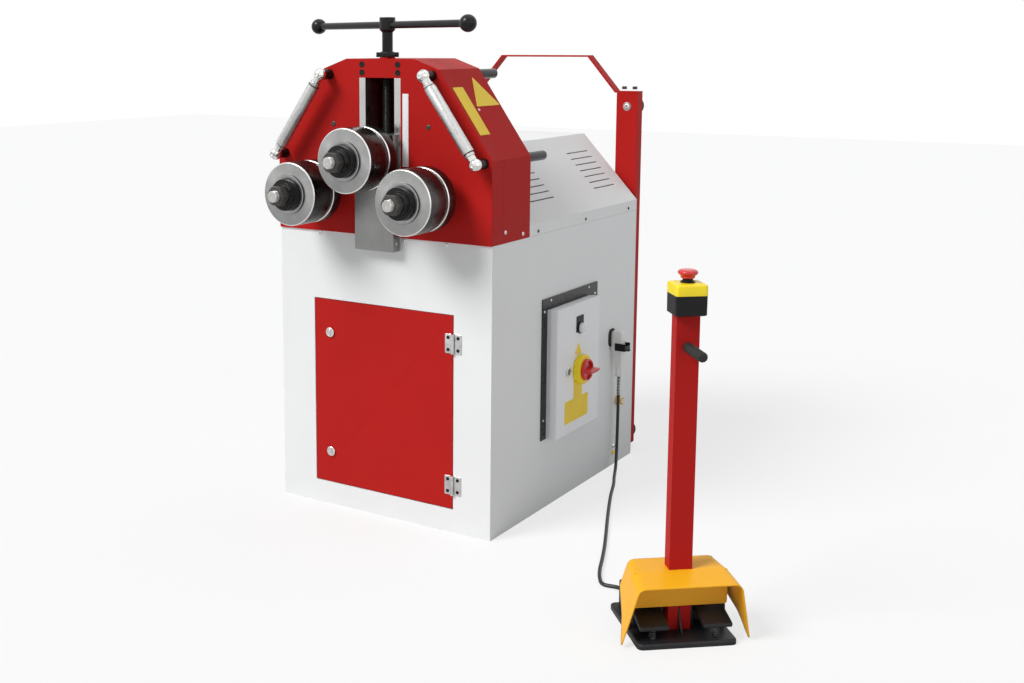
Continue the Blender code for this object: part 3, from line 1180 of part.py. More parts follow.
def make_guard(yellow, column):
    """The folded guard over the pedals: front lip, fold, flat back, wings and the rear wall."""
    sections = [
        guard_section(GUARD_FRONT, GUARD_FRONT_HALF, GUARD_FRONT_Z, GUARD_TIP_HALF, GUARD_TIP_Z),
        guard_section(GUARD_FOLD, GUARD_FOLD_HALF, GUARD_FOLD_Z, GUARD_MIDDLE_HALF, GUARD_MIDDLE_LOW_Z),
        guard_section(GUARD_BACK, GUARD_BACK_HALF, GUARD_BACK_Z, GUARD_TAIL_HALF, GUARD_TAIL_Z),
    ]
    for row, low_v in zip(sections, (GUARD_TIP_V, GUARD_MIDDLE_LOW_V, GUARD_BACK)):
        u, _, z = row[-1]
        row[-1] = (u, low_v, z)
    rows = [[(-u, v, z) for u, v, z in reversed(row)] + row[1:] for row in sections]
    width = len(rows[0])
    mesh = bpy.data.meshes.new("guard")
    faces = [(r * width + c, r * width + c + 1, (r + 1) * width + c + 1, (r + 1) * width + c)
             for r in range(len(rows) - 1) for c in range(width - 1)]
    mesh.from_pydata([point for row in rows for point in row], [], faces)
    sheet = link(bpy.data.objects.new("guard", mesh))
    wall = sheet.modifiers.new("wall", "SOLIDIFY")
    wall.thickness = GUARD_SHEET
    wall.offset = -1
    wall.use_even_offset = True
    round_in = GUARD_ROUND / 3
    panel = box((-GUARD_BACK_HALF + round_in, GUARD_BACK - GUARD_SHEET, GUARD_WALL_Z),
                (GUARD_BACK_HALF - round_in, GUARD_BACK - SEAT_GAP, GUARD_BACK_Z - GUARD_SHEET / 2))
    slot = box((-COLUMN_HALF - SLIDE_GAP, COLUMN_FRONT - SLIDE_GAP, GUARD_WALL_Z),
               (COLUMN_HALF + SLIDE_GAP, COLUMN_FRONT + COLUMN_DEPTH + SLIDE_GAP, GUARD_BACK_Z + OVERRUN))
    for shape in (sheet, panel, slot):
        in_column(shape, column)
    node("pedal_guard", cut(fuse(sheet, panel), slot), yellow, column, smooth=False)


def in_column(shape, column):
    """Move a shape made in the column's own frame into the world."""
    shape.matrix_world = column.matrix_world @ shape.matrix_world
    return shape


def make_column(red, yellow, black, grey, bright):
    """The pedal column: cast base, two sprung pedals, guard, post, stop box and grip."""
    column = axis_point("column_frame", (COLUMN_X, COLUMN_Y, 0), COLUMN_TURN)
    make_pedal_base(black, column)
    make_guard(yellow, column)
    make_pedals(black, column)
    make_post(red, grey, black, column)


def make_pedal_base(black, column):
    """Cast plate with the switch housing behind, the rib between the pedals and the pin ears."""
    floor = PEDAL_BASE_HEIGHT / 2
    base = box((-PEDAL_BASE_HALF, PEDAL_BASE_FRONT, 0), (PEDAL_BASE_HALF, PEDAL_BASE_BACK, PEDAL_BASE_HEIGHT))
    rounded(base, PEDAL_BASE_HEIGHT / 4, 1)
    housing = box((-SWITCH_HOUSING_HALF, SWITCH_HOUSING_FRONT, floor),
                  (SWITCH_HOUSING_HALF, SWITCH_HOUSING_BACK, SWITCH_HOUSING_TOP_Z))
    start = PEDAL_BASE_FRONT + PEDAL_BASE_HEIGHT
    end = COLUMN_FRONT - SEAT_GAP
    turns = [math.pi / 2 * i / RIB_STEPS for i in range(RIB_STEPS + 1)]
    rise = [(start + (end - start) * math.sin(a), floor + (RIB_TOP_Z - floor) * (1 - math.cos(a)))
            for a in turns]
    rib = slab([rise + [(end, floor)]], -RIB_HALF, RIB_HALF, "X")
    ears = []
    for side in (-1, 1):
        for inner in (PEDAL_INNER - EAR_GAP - EAR_THICKNESS, PEDAL_OUTER + EAR_GAP):
            low_u, high_u = sorted((side * inner, side * (inner + EAR_THICKNESS)))
            ears.append(box((low_u, PEDAL_PIN_V - PEDAL_EYE_RADIUS, floor),
                            (high_u, PEDAL_PIN_V + PEDAL_EYE_RADIUS, PEDAL_PIN_Z + PEDAL_EYE_RADIUS)))
    pins = []
    for side in (-1, 1):
        low_u, high_u = sorted((side * (PEDAL_INNER - EAR_THICKNESS), side * (PEDAL_OUTER + EAR_THICKNESS)))
        pins.append(rod(PEDAL_PIN_RADIUS, low_u, high_u, (0, PEDAL_PIN_V, PEDAL_PIN_Z), "X", SMALL_STEPS))
    gland = rod(CORD_GLAND_RADIUS, -OVERRUN, CORD_GLAND_LENGTH,
                (CORD_GLAND_U, PEDAL_BASE_BACK, CORD_GLAND_Z), "Y", SMALL_STEPS)
    seats = [rod(SPRING_SEAT_RADIUS, floor, PEDAL_BASE_HEIGHT + SPRING_SEAT_HEIGHT,
                 (side * (PEDAL_INNER + PEDAL_OUTER) / 2, PEDAL_FRONT + PEDAL_THICKNESS * 2, 0),
                 steps=SMALL_STEPS) for side in (-1, 1)]
    for shape in [base, housing, rib, gland] + ears + pins + seats:
        in_column(shape, column)
    node("pedal_base", fuse(base, housing, rib, gland, *ears, *pins, *seats), black, column, smooth=False)


def make_pedals(black, column):
    """Two pedal plates on the pin, each free to tip down in front."""
    fall = math.atan2(PEDAL_BACK_TOP_Z - PEDAL_FRONT_TOP_Z, PEDAL_BACK - PEDAL_FRONT)
    length = (PEDAL_BACK - PEDAL_FRONT) / math.cos(fall)
    pin = column.matrix_world @ Vector((0, PEDAL_PIN_V, PEDAL_PIN_Z))
    for name, side in (("left", -1), ("right", 1)):
        low_u, high_u = sorted((side * PEDAL_INNER, side * PEDAL_OUTER))
        plate = box((low_u, -length, -PEDAL_THICKNESS), (high_u, 0, 0))
        plate.matrix_world = (Matrix.Translation((0, PEDAL_BACK, PEDAL_BACK_TOP_Z))
                              @ Matrix.Rotation(fall, 4, "X"))
        eye = rod(PEDAL_EYE_RADIUS, low_u, high_u, (0, PEDAL_PIN_V, PEDAL_PIN_Z), "X", SMALL_STEPS)
        hole = rod(running_bore(PEDAL_PIN_RADIUS, SMALL_STEPS), low_u - OVERRUN, high_u + OVERRUN,
                   (0, PEDAL_PIN_V, PEDAL_PIN_Z), "X", SMALL_STEPS)
        for shape in (plate, eye, hole):
            in_column(shape, column)
        axis = axis_point(name + "_pedal_axis", pin, COLUMN_TURN, column)
        node(name + "_pedal", cut(fuse(rounded(plate, PEDAL_THICKNESS / 4, 1), eye), hole), black, axis,
             smooth=False)


def make_post(red, grey, black, column):
    """The square post on the base, the stop box with its mushroom button, and the grip."""
    back = COLUMN_FRONT + COLUMN_DEPTH
    post = box((-COLUMN_HALF, COLUMN_FRONT, PEDAL_BASE_HEIGHT + SEAT_GAP), (COLUMN_HALF, back, COLUMN_TOP_Z))
    hollow = box((-COLUMN_HALF + COLUMN_WALL, COLUMN_FRONT + COLUMN_WALL, -OVERRUN),
                 (COLUMN_HALF - COLUMN_WALL, back - COLUMN_WALL, COLUMN_TOP_Z - COLUMN_WALL))
    stop = box((-STOP_HALF, STOP_FRONT, COLUMN_TOP_Z + SEAT_GAP), (STOP_HALF, STOP_BACK, STOP_TOP_Z))
    rounded(stop, STOP_EDGE, 1)
    middle = (STOP_FRONT + STOP_BACK) / 2
    collar_top = STOP_TOP_Z + STOP_COLLAR_HEIGHT
    collar = rod(STOP_COLLAR_RADIUS, STOP_TOP_Z - STOP_COLLAR_HEIGHT, collar_top, (0, middle, 0))
    well_z = STOP_TOP_Z - STOP_WELL_DEPTH
    well = rod(running_bore(STOP_PLUNGER_RADIUS), well_z, collar_top + OVERRUN, (0, middle, 0))
    for shape in (post, hollow, stop, collar, well):
        in_column(shape, column)
    node("pedal_post", cut(post, hollow), red, column, smooth=False)
    node("stop_box", cut(fuse(stop, collar), well), grey, column, smooth=False)

    top = column.matrix_world @ Vector((0, middle, collar_top))
    press = axis_point("stop_press_axis", top, COLUMN_TURN, column)
    twist = axis_point("stop_twist_axis", top, COLUMN_TURN, press)
    seat_z = well_z + STOP_TRAVEL + SEAT_GAP * 2
    key = STOP_PLUNGER_RADIUS * STOP_KEY_SHARE
    stem = turned([(0, STOP_NECK_Z), (key, STOP_NECK_Z), (key, collar_top + STOP_TRAVEL),
                   (STOP_PLUNGER_RADIUS, collar_top + STOP_TRAVEL), (STOP_PLUNGER_RADIUS, seat_z),
                   (0, seat_z)], (0, middle, 0))
    edge = STOP_HEAD_EDGE
    head = turned([(0, STOP_HEAD_TOP_Z), (STOP_HEAD_RADIUS - edge * 2, STOP_HEAD_TOP_Z),
                   (STOP_HEAD_RADIUS - edge / 2, STOP_HEAD_TOP_Z - edge),
                   (STOP_HEAD_RADIUS, STOP_HEAD_TOP_Z - edge * 2), (STOP_HEAD_RADIUS, STOP_HEAD_Z),
                   (STOP_NECK_RADIUS, STOP_NECK_FLARE_Z), (STOP_NECK_RADIUS, STOP_HEAD_BOTTOM_Z),
                   (running_bore(key), STOP_HEAD_BOTTOM_Z), (running_bore(key), STOP_NECK_Z + SEAT_GAP),
                   (0, STOP_NECK_Z + SEAT_GAP)], (0, middle, 0))
    for shape in (stem, head):
        in_column(shape, column)
    node("stop_stem", stem, red, press)
    node("stop_head", head, red, twist)

    outline = [(0, -SEAT_GAP), (GRIP_RADIUS, -SEAT_GAP), (GRIP_RADIUS, GRIP_EDGE - GRIP_LENGTH),
               (GRIP_RADIUS - GRIP_EDGE, -GRIP_LENGTH), (0, -GRIP_LENGTH)]
    node("grip_peg", in_column(turned(outline, (0, COLUMN_FRONT, GRIP_Z), "Y"), column), grey, column)


# Build
def build():
    """Make every piece."""
    clear_scene()
    red = material("red_paint", (0.45, 0.020, 0.016), 0.4, 0.0)
    white = material("light_grey_paint", (0.80, 0.81, 0.81), 0.45, 0.0)
    yellow = material("yellow_paint", (0.91, 0.45, 0.02), 0.4, 0.0)
    bright = material("bright_steel", (0.62, 0.62, 0.63), 0.28, 1.0)
    dark = material("dark_steel", (0.20, 0.20, 0.21), 0.35, 1.0)
    black = material("black_oxide", (0.02, 0.02, 0.02), 0.35, 0.0)
    grey = material("cast_grey", (0.35, 0.36, 0.37), 0.5, 0.3)
    rubber = material("rubber", (0.02, 0.02, 0.02), 0.8, 0.0)
    make_cabinet(white)
    make_head(red, bright, white)
    make_hood(white)
    make_rear_frame(red, rubber)
    make_drive(grey, dark)
    make_lower_rolls(bright, dark, black)
    slider_axis = make_slider(grey, bright, dark, black)
    make_spindle(slider_axis, black)
    make_guides(bright, black)
    make_door(red, bright)
    make_control_box(white, black, red)
    make_connector(white, black, bright)
    make_cord(black)
    make_column(red, yellow, black, grey, bright)


build()
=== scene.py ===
import bmesh
import bpy
import numpy as np
from mathutils import Matrix


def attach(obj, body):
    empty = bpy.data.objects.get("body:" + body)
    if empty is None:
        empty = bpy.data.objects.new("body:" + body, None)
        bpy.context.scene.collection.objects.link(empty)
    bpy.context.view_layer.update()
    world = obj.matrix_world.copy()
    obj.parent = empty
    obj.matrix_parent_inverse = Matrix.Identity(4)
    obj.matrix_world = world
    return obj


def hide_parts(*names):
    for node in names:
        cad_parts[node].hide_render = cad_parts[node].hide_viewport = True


# %% [markdown]
# # A three-roll section bender and its foot-pedal column
# The machine bends bars and tubes into rings: two driven rolls below, one roll above that a
# spindle pushes down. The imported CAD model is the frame. It gives every place and every size in
# metres, so each new piece is worked out directly in the machine's own coordinates: +X to the
# operator's right, -Y towards the operator, +Z up, the floor at zero.

# %% Load the frame
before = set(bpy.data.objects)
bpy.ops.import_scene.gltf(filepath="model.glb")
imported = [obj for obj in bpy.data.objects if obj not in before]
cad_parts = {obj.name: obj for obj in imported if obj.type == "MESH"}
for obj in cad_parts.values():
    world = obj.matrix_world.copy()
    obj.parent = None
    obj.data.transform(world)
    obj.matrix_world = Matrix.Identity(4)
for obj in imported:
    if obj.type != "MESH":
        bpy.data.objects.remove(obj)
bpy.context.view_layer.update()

# %% [markdown]
# ## The camera
# The picture is taken from a standing person's chest height, well to the right of the rolls, with
# the lens pushed up and sideways. Its place was solved from the straight edges of the cabinet.
# A camera that is set by its three axes needs no target object, so nothing can drift.

# %% Camera
RIGHT = (0.83026798, 0.55736117, -0.00189832)
UP = (-0.08169087, 0.12505776, 0.98878064)
BACK = (0.55134534, -0.82079783, 0.14936277)
SEAT = (1.854, -3.0988, 1.2213)

lens = bpy.data.cameras.new("view")
lens.sensor_width = 36
lens.lens = 45.64
lens.shift_x = 0.1094
lens.shift_y = -0.0991
lens.clip_end = 60
camera = bpy.data.objects.new("view", lens)
camera.matrix_world = Matrix([
    (RIGHT[0], UP[0], BACK[0], SEAT[0]),
    (RIGHT[1], UP[1], BACK[1], SEAT[1]),
    (RIGHT[2], UP[2], BACK[2], SEAT[2]),
    (0, 0, 0, 1),
])
bpy.context.scene.collection.objects.link(camera)
bpy.context.scene.camera = camera
print("lens", lens.lens, "mm at", SEAT)

# %% [markdown]
# ## The pedal cord
# A rubber cord of 9 mm leaves the connector's gland downwards, hangs beside the wall, lands on
# the floor and runs in one long curve to the gland at the back of the pedal base. A curve object
# keeps its thickness whatever the route does. The route is a Catmull-Rom curve: each stretch is a
# cubic of its four nearest points, so it passes through every point without a kink. A bevel of
# one metre is multiplied by each point's radius, so the radius is the cord's own.

# %% Cord route
FRONT_Y = -0.423
CORD_DIAMETER = 0.009
CORD_START = (0.348, 0.272, 0.2747)
COLUMN_SPOT = np.array([0.877, -0.615, 0.0])
COLUMN_TURN = np.radians(40.9)
COLUMN_U = np.array([np.cos(COLUMN_TURN), np.sin(COLUMN_TURN), 0.0])
COLUMN_V = np.array([-np.sin(COLUMN_TURN), np.cos(COLUMN_TURN), 0.0])
CORD_FLOOR_ROUTE = np.array([
    (0.3480, 0.6950, 0.2650), (0.3480, 0.6950, 0.2300), (0.3480, 0.6946, 0.1900),
    (0.3482, 0.6936, 0.1400), (0.3490, 0.6905, 0.0900), (0.3512, 0.6840, 0.0480),
    (0.3565, 0.6700, 0.0185), (0.3665, 0.6430, 0.0060), (0.3840, 0.5990, 0.0048),
    (0.4070, 0.5450, 0.0048), (0.4370, 0.4620, 0.0048), (0.4720, 0.3740, 0.0048),
    (0.5080, 0.2870, 0.0048), (0.5440, 0.2020, 0.0048), (0.5790, 0.1180, 0.0048),
    (0.6080, 0.0430, 0.0048), (0.6300, -0.0170, 0.0048), (0.6520, -0.0640, 0.0048),
    (0.6740, -0.0920, 0.0050),
]) + (0, FRONT_Y, 0)


def in_column(u, v, z):
    """A point of the column's frame in the world: its spot + u times its right + v times its back."""
    return COLUMN_SPOT + u * COLUMN_U + v * COLUMN_V + (0, 0, z)


def catmull_rom(points, count):
    """On each stretch from b to c, with a before it and d after it, and t from 0 to 1,
    p(t) = half of (2b + (c - a)t + (2a - 5b + 4c - d)t^2 + (3b - a - 3c + d)t^3)."""
    ends = np.vstack([2 * points[0] - points[1], points, 2 * points[-1] - points[-2]])
    a, b, c, d = (ends[i:len(ends) - 3 + i, None] for i in range(4))
    t = np.linspace(0, 1, count, endpoint=False)[None, :, None]
    route = 0.5 * (2 * b + (c - a) * t + (2 * a - 5 * b + 4 * c - d) * t**2 + (3 * b - a - 3 * c + d) * t**3)
    return np.vstack([route.reshape(-1, 3), points[-1:]])


knots = np.vstack([
    CORD_START, CORD_FLOOR_ROUTE,
    in_column(-0.060, 0.1813, 0.007), in_column(-0.060, 0.1397, 0.014), in_column(-0.060, 0.1163, 0.014),
])
route = catmull_rom(knots, 8)

# %% Cord curve
line = bpy.data.curves.new("pedal_lead", "CURVE")
line.dimensions = "3D"
line.bevel_depth = 1.0
line.bevel_resolution = 5
spline = line.splines.new("POLY")
spline.points.add(len(route) - 1)
spline.points.foreach_set("co", np.column_stack([route, np.ones(len(route))]).ravel())
spline.points.foreach_set("radius", np.full(len(route), CORD_DIAMETER / 2))
cord = bpy.data.objects.new("pedal_lead", line)
bpy.context.scene.collection.objects.link(cord)
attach(cord, "base")
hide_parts("pedal_cord")

# %% [markdown]
# ## Light and floor
# A product picture like this has one large soft lamp high in front on the left, and a room that
# sends the rest back. Suns with a wide angle do that evenly, with no bright spot on the floor.
# The front is lit about twice as much as the right side. What the camera, a gloss or glass sees
# past the object is white, which is Light Path's work and adds no light to the object.

# %% Lamps and world
def sun(name, towards, share, angle):
    """A sun whose light on a surface facing it is share times what shows a white surface as white."""
    lamp = bpy.data.lights.new(name, "SUN")
    lamp.energy = np.pi * share
    lamp.angle = np.radians(angle)
    item = bpy.data.objects.new(name, lamp)
    back = np.array(towards) / np.linalg.norm(towards)
    side = np.cross((0, 0, 1), back)
    side = side / np.linalg.norm(side)
    top = np.cross(back, side)
    item.matrix_world = Matrix([(side[i], top[i], back[i], 0) for i in range(3)] + [(0, 0, 0, 1)])
    bpy.context.scene.collection.objects.link(item)
    return item


sun("key", (-0.36, -0.64, 0.68), 0.86, 26)
sun("fill", (0.90, -0.25, 0.38), 0.08, 50)
sun("top", (0.20, 0.15, 0.97), 0.15, 50)

world = bpy.data.worlds.new("room")
world.use_nodes = True
bpy.context.scene.world = world
nodes = world.node_tree.nodes
links = world.node_tree.links
nodes.clear()
path = nodes.new("ShaderNodeLightPath")
sees = nodes.new("ShaderNodeMath")
sees.operation = "MAXIMUM"
links.new(path.outputs["Is Camera Ray"], sees.inputs[0])
links.new(path.outputs["Is Glossy Ray"], sees.inputs[1])
clear = nodes.new("ShaderNodeMath")
clear.operation = "MAXIMUM"
links.new(sees.outputs[0], clear.inputs[0])
links.new(path.outputs["Is Transmission Ray"], clear.inputs[1])
room = nodes.new("ShaderNodeBackground")
room.inputs["Color"].default_value = (0.96, 0.98, 1.0, 1)
room.inputs["Strength"].default_value = 0.30
white = nodes.new("ShaderNodeBackground")
white.inputs["Color"].default_value = (1, 1, 1, 1)
white.inputs["Strength"].default_value = 1.0
choose = nodes.new("ShaderNodeMixShader")
links.new(clear.outputs[0], choose.inputs[0])
links.new(room.outputs[0], choose.inputs[1])
links.new(white.outputs[0], choose.inputs[2])
links.new(choose.outputs[0], nodes.new("ShaderNodeOutputWorld").inputs[0])
bpy.context.scene.view_settings.view_transform = "Standard"

# %% Floor
FLOOR_HALF = 14.0
mesh = bpy.data.meshes.new("floor")
across = np.linspace(-FLOOR_HALF, FLOOR_HALF, 9)
spots = np.stack(np.meshgrid(across, across, [0.0], indexing="ij"), -1).reshape(-1, 3)
near = np.arange(8)[:, None] * 9 + np.arange(8)[None, :]
mesh.from_pydata(spots, [], np.stack([near, near + 9, near + 10, near + 1], -1).reshape(-1, 4).tolist())
floor = bpy.data.objects.new("floor", mesh)
bpy.context.scene.collection.objects.link(floor)

floor_look = bpy.data.materials.new("pale floor")
floor_look.use_nodes = True
nodes = floor_look.node_tree.nodes
links = floor_look.node_tree.links
nodes.clear()
path = nodes.new("ShaderNodeLightPath")
matt = nodes.new("ShaderNodeBsdfDiffuse")
matt.inputs["Color"].default_value = (0.68, 0.68, 0.68, 1)
glow = nodes.new("ShaderNodeEmission")
glow.inputs["Color"].default_value = (1, 1, 1, 1)
glow.inputs["Strength"].default_value = 1.10
share = nodes.new("ShaderNodeMath")
share.operation = "MULTIPLY"
share.inputs[1].default_value = 0.62
links.new(path.outputs["Is Camera Ray"], share.inputs[0])
blend = nodes.new("ShaderNodeMixShader")
links.new(share.outputs[0], blend.inputs[0])
links.new(matt.outputs[0], blend.inputs[1])
links.new(glow.outputs[0], blend.inputs[2])
links.new(blend.outputs[0], nodes.new("ShaderNodeOutputMaterial").inputs[0])
mesh.materials.append(floor_look)
print("floor", 2 * FLOOR_HALF, "m wide")

# %% [markdown]
# ## From arrays to pieces
# Every new form here is one of a few surfaces of two parameters: a profile turned about an axis,
# an outline lifted along its normal, a circle carried along a path. Each helper returns the same
# three arrays (points, faces, and for each face corner its UV), plus a finish number for each
# face, so that one function can put any of them together into a piece. UV u is the share of the
# way round and v is the distance along the profile in metres, which turning marks can follow.

# %% Grids
def skin(points, wrap=True, first=False, last=False, kinds=None, run=None):
    """A grid of rows x columns x 3 as faces: corner (i, j) joins (i, j+1), (i+1, j+1) and (i+1, j)."""
    points = np.asarray(points, float)
    rows, columns = points.shape[:2]
    spans = columns if wrap else columns - 1
    i = np.arange(rows - 1)[:, None]
    j = np.arange(spans)[None, :]
    k = (j + 1) % columns
    faces = np.stack([i * columns + j, i * columns + k, (i + 1) * columns + k, (i + 1) * columns + j], -1)
    if run is None:
        steps = np.linalg.norm(np.diff(points, axis=0), axis=2).mean(1)
        run = np.concatenate([[0], np.cumsum(steps)])
    u0, u1 = np.broadcast_arrays(j / spans, (j + 1) / spans)
    v0, v1 = run[:-1, None] + 0 * u0, run[1:, None] + 0 * u0
    u0, u1 = u0 + 0 * v0, u1 + 0 * v0
    uv = np.stack([np.stack(p, -1) for p in ((u0, v0), (u1, v0), (u1, v1), (u0, v1))], -2)
    kinds = np.zeros(rows - 1, int) if kinds is None else np.asarray(kinds)
    face_kinds = np.repeat(kinds, spans).tolist()
    faces = faces.reshape(-1, 4).tolist()
    uv = uv.reshape(-1, 2)
    for wanted, row, kind in ((first, 0, kinds[0]), (last, rows - 1, kinds[-1])):
        if wanted:
            faces.append((row * columns + np.arange(columns)).tolist())
            uv = np.vstack([uv, np.zeros((columns, 2))])
            face_kinds.append(int(kind))
    return points.reshape(-1, 3), faces, uv, face_kinds


def piece(name, shapes, looks, body, stands_for=(), angle=32):
    """Puts shapes into one mesh, closes seams and poles, turns faces outwards, and keeps the rims of
    flat faces sharp."""
    starts = np.cumsum([0] + [len(s[0]) for s in shapes])
    mesh = bpy.data.meshes.new(name)
    faces = [[int(start) + c for c in face] for start, s in zip(starts, shapes) for face in s[1]]
    mesh.from_pydata(np.vstack([s[0] for s in shapes]), [], faces)
    mesh.uv_layers.new(name="along").data.foreach_set("uv", np.vstack([s[2] for s in shapes]).ravel())
    mesh.polygons.foreach_set("material_index", sum([s[3] for s in shapes], []))
    shell = bmesh.new()
    shell.from_mesh(mesh)
    bmesh.ops.remove_doubles(shell, verts=shell.verts, dist=1e-6)
    bmesh.ops.recalc_face_normals(shell, faces=shell.faces)
    shell.to_mesh(mesh)
    shell.free()
    mesh.polygons.foreach_set("use_smooth", np.ones(len(mesh.polygons), bool))
    mesh.set_sharp_from_angle(angle=np.radians(angle))
    sides = np.zeros(len(mesh.polygons), int)
    mesh.polygons.foreach_get("loop_total", sides)
    edges = np.zeros(len(mesh.loops), int)
    mesh.loops.foreach_get("edge_index", edges)
    crisp = np.zeros(len(mesh.edges), bool)
    mesh.edges.foreach_get("use_edge_sharp", crisp)
    crisp[edges[np.repeat(sides > 4, sides)]] = True
    mesh.edges.foreach_set("use_edge_sharp", crisp)
    for look in looks:
        mesh.materials.append(look)
    item = bpy.data.objects.new(name, mesh)
    bpy.context.scene.collection.objects.link(item)
    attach(item, body)
    if stands_for:
        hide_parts(*stands_for)
    print(f"{name}: {len(mesh.polygons)} faces, rides on {body}")
    return item


# %% Softened outlines
def soften(outline, radius, steps=4, closed=False):
    """Each corner C becomes (1-s)^2 A + 2s(1-s) C + s^2 B, where A and B lie radius away on its two sides."""
    corner = np.asarray(outline, float)
    if closed:
        before, after = np.roll(corner, 1, 0), np.roll(corner, -1, 0)
    else:
        before = np.vstack([corner[:1], corner[:-1]])
        after = np.vstack([corner[1:], corner[-1:]])
    back, ahead = before - corner, after - corner
    back_length = np.linalg.norm(back, axis=1)
    ahead_length = np.linalg.norm(ahead, axis=1)
    reach = np.minimum(np.broadcast_to(radius, len(corner)), 0.49 * np.minimum(back_length, ahead_length))
    a = corner + back * (reach / np.maximum(back_length, 1e-9))[:, None]
    b = corner + ahead * (reach / np.maximum(ahead_length, 1e-9))[:, None]
    s = np.linspace(0, 1, steps + 1)[None, :, None]
    curve = (1 - s) ** 2 * a[:, None] + 2 * s * (1 - s) * corner[:, None] + s**2 * b[:, None]
    return curve.reshape(-1, corner.shape[1])


def soft_kinds(kinds, steps=4, arcs=None):
    """Finish numbers after soften(): a straight keeps its own, and a corner takes arcs or else the
    number of the straight before it."""
    straight = np.asarray(list(kinds) + [kinds[-1]])
    corner = np.roll(straight, 1) if arcs is None else np.full(len(straight), arcs)
    corner[0] = straight[0] if arcs is None else arcs
    table = np.repeat(corner[:, None], steps + 1, 1)
    table[:, steps] = straight
    return table.reshape(-1)[:-1]


# %% Turned forms
NO_LIMIT = 9.0


def axes(direction, hint=(0, 0, 1)):
    """Three square directions (side, other, along), with along as given and other nearest to the hint."""
    along = np.array(direction, float) / np.linalg.norm(direction)
    if abs(np.dot(along, hint)) > 0.95:
        hint = (1, 0, 0)
    side = np.cross(hint, along)
    side = side / np.linalg.norm(side)
    return side, np.cross(along, side), along


def turned(profile, spot, direction, steps=96, corners=None, kinds=None, thread=None, hint=(0, 0, 1)):
    """Point = spot + t along + r (cos a side + sin a other), for (t, r) on the profile and the angle a
    round the circle.
    corners caps r row by row at a hexagon of that corner radius: apothem / cos(a mod 60 - 30 degrees),
    and a row with NO_LIMIT stays round.
    thread = (pitch, depth, start, end) takes depth (1 + cos(360 t / pitch - a)) / 2 off r in between."""
    profile = np.asarray(profile, float)
    side, other, along = axes(direction, hint)
    angle = np.linspace(0, 2 * np.pi, steps, endpoint=False)[None, :]
    t, radius = profile[:, :1], np.repeat(profile[:, 1:2], steps, 1)
    if corners is not None:
        limit = np.asarray(corners, float)[:, None]
        share = np.cos(np.pi / 6) / np.cos(angle % (np.pi / 3) - np.pi / 6)
        radius = np.minimum(radius, limit * share)
    if thread is not None:
        pitch, depth, start, end = thread
        inside = (t >= start) & (t <= end)
        radius = radius - inside * depth * (1 + np.cos(2 * np.pi * t / pitch - angle)) / 2
    ring = np.cos(angle)[..., None] * side + np.sin(angle)[..., None] * other
    points = np.asarray(spot, float) + t[..., None] * along + radius[..., None] * ring
    run = np.concatenate([[0], np.cumsum(np.linalg.norm(np.diff(profile, axis=0), axis=1))])
    return skin(points, kinds=kinds, run=run)


def turned_soft(profile, radius, spot, direction, kinds=None, arcs=None, rounding=4, **more):
    """turned() of a profile whose corners are softened first."""
    if kinds is not None:
        kinds = soft_kinds(kinds, rounding, arcs)
    return turned(soften(profile, radius, rounding), spot, direction, kinds=kinds, **more)


# %% Plates and prisms
FACING_FRONT = ((1, 0, 0), (0, 0, 1), (0, -1, 0))
FACING_RIGHT = ((0, 1, 0), (0, 0, 1), (1, 0, 0))
FACING_UP = ((1, 0, 0), (0, 1, 0), (0, 0, 1))
IN_COLUMN = (COLUMN_U, COLUMN_V, (0, 0, 1))


def stack(outline, levels, spot, facing, first=True, last=True, kinds=None):
    """Rows of a closed outline (a, b): each level (d, h) moves it d inwards along its mitres and
    lifts it to height h."""
    outline = np.asarray(outline, float)
    ahead = np.roll(outline, -1, 0)
    area = np.sum(outline[:, 0] * ahead[:, 1] - ahead[:, 0] * outline[:, 1])
    if area < 0:
        outline = outline[::-1]
        ahead = np.roll(outline, -1, 0)
    edge = ahead - outline
    edge = edge / np.maximum(np.linalg.norm(edge, axis=1), 1e-9)[:, None]
    normal = np.column_stack([-edge[:, 1], edge[:, 0]])
    before = np.roll(normal, 1, 0)
    mitre = (normal + before) / (1 + np.sum(normal * before, axis=1))[:, None]
    levels = np.asarray(levels, float)
    inset = outline[None] + levels[:, :1, None] * mitre[None]
    a, b, n = (np.array(axis, float) for axis in facing)
    points = inset[..., :1] * a + inset[..., 1:] * b + levels[:, 1:, None] * n
    return skin(points + np.asarray(spot, float), first=first, last=last, kinds=kinds)


def rounded_edge(low, high, top, bottom=0.0, steps=3):
    """Levels of a plate from low to high whose two rims are quarter rounds of radius bottom and top."""
    turn = np.linspace(0, np.pi / 2, steps + 1)
    rise = np.column_stack([bottom * (1 - np.sin(turn)), low + bottom * (1 - np.cos(turn))])
    fall = np.column_stack([top * (1 - np.cos(turn)), high - top * (1 - np.sin(turn))])
    return np.vstack([rise if bottom else rise[-1:], fall])


def plate(outline, low, high, spot, facing, edge=0.0008, bottom=0.0, steps=3):
    """A solid plate with softened rims."""
    return stack(outline, rounded_edge(low, high, edge, bottom, steps), spot, facing)


def tray(outline, low, high, wall, spot, facing, edge=0.002):
    """A shallow tray, open towards low: inside floor, inside wall, rim, outside wall, rounded face."""
    inside = [(wall, high - wall), (wall, low)]
    return stack(outline, np.vstack([inside, rounded_edge(low, high, edge)]), spot, facing)


def rectangle(a_low, a_high, b_low, b_high, corner=0.003, steps=4):
    """A rectangle with softened corners."""
    corners = [(a_low, b_low), (a_high, b_low), (a_high, b_high), (a_low, b_high)]
    return soften(corners, corner, steps, closed=True)


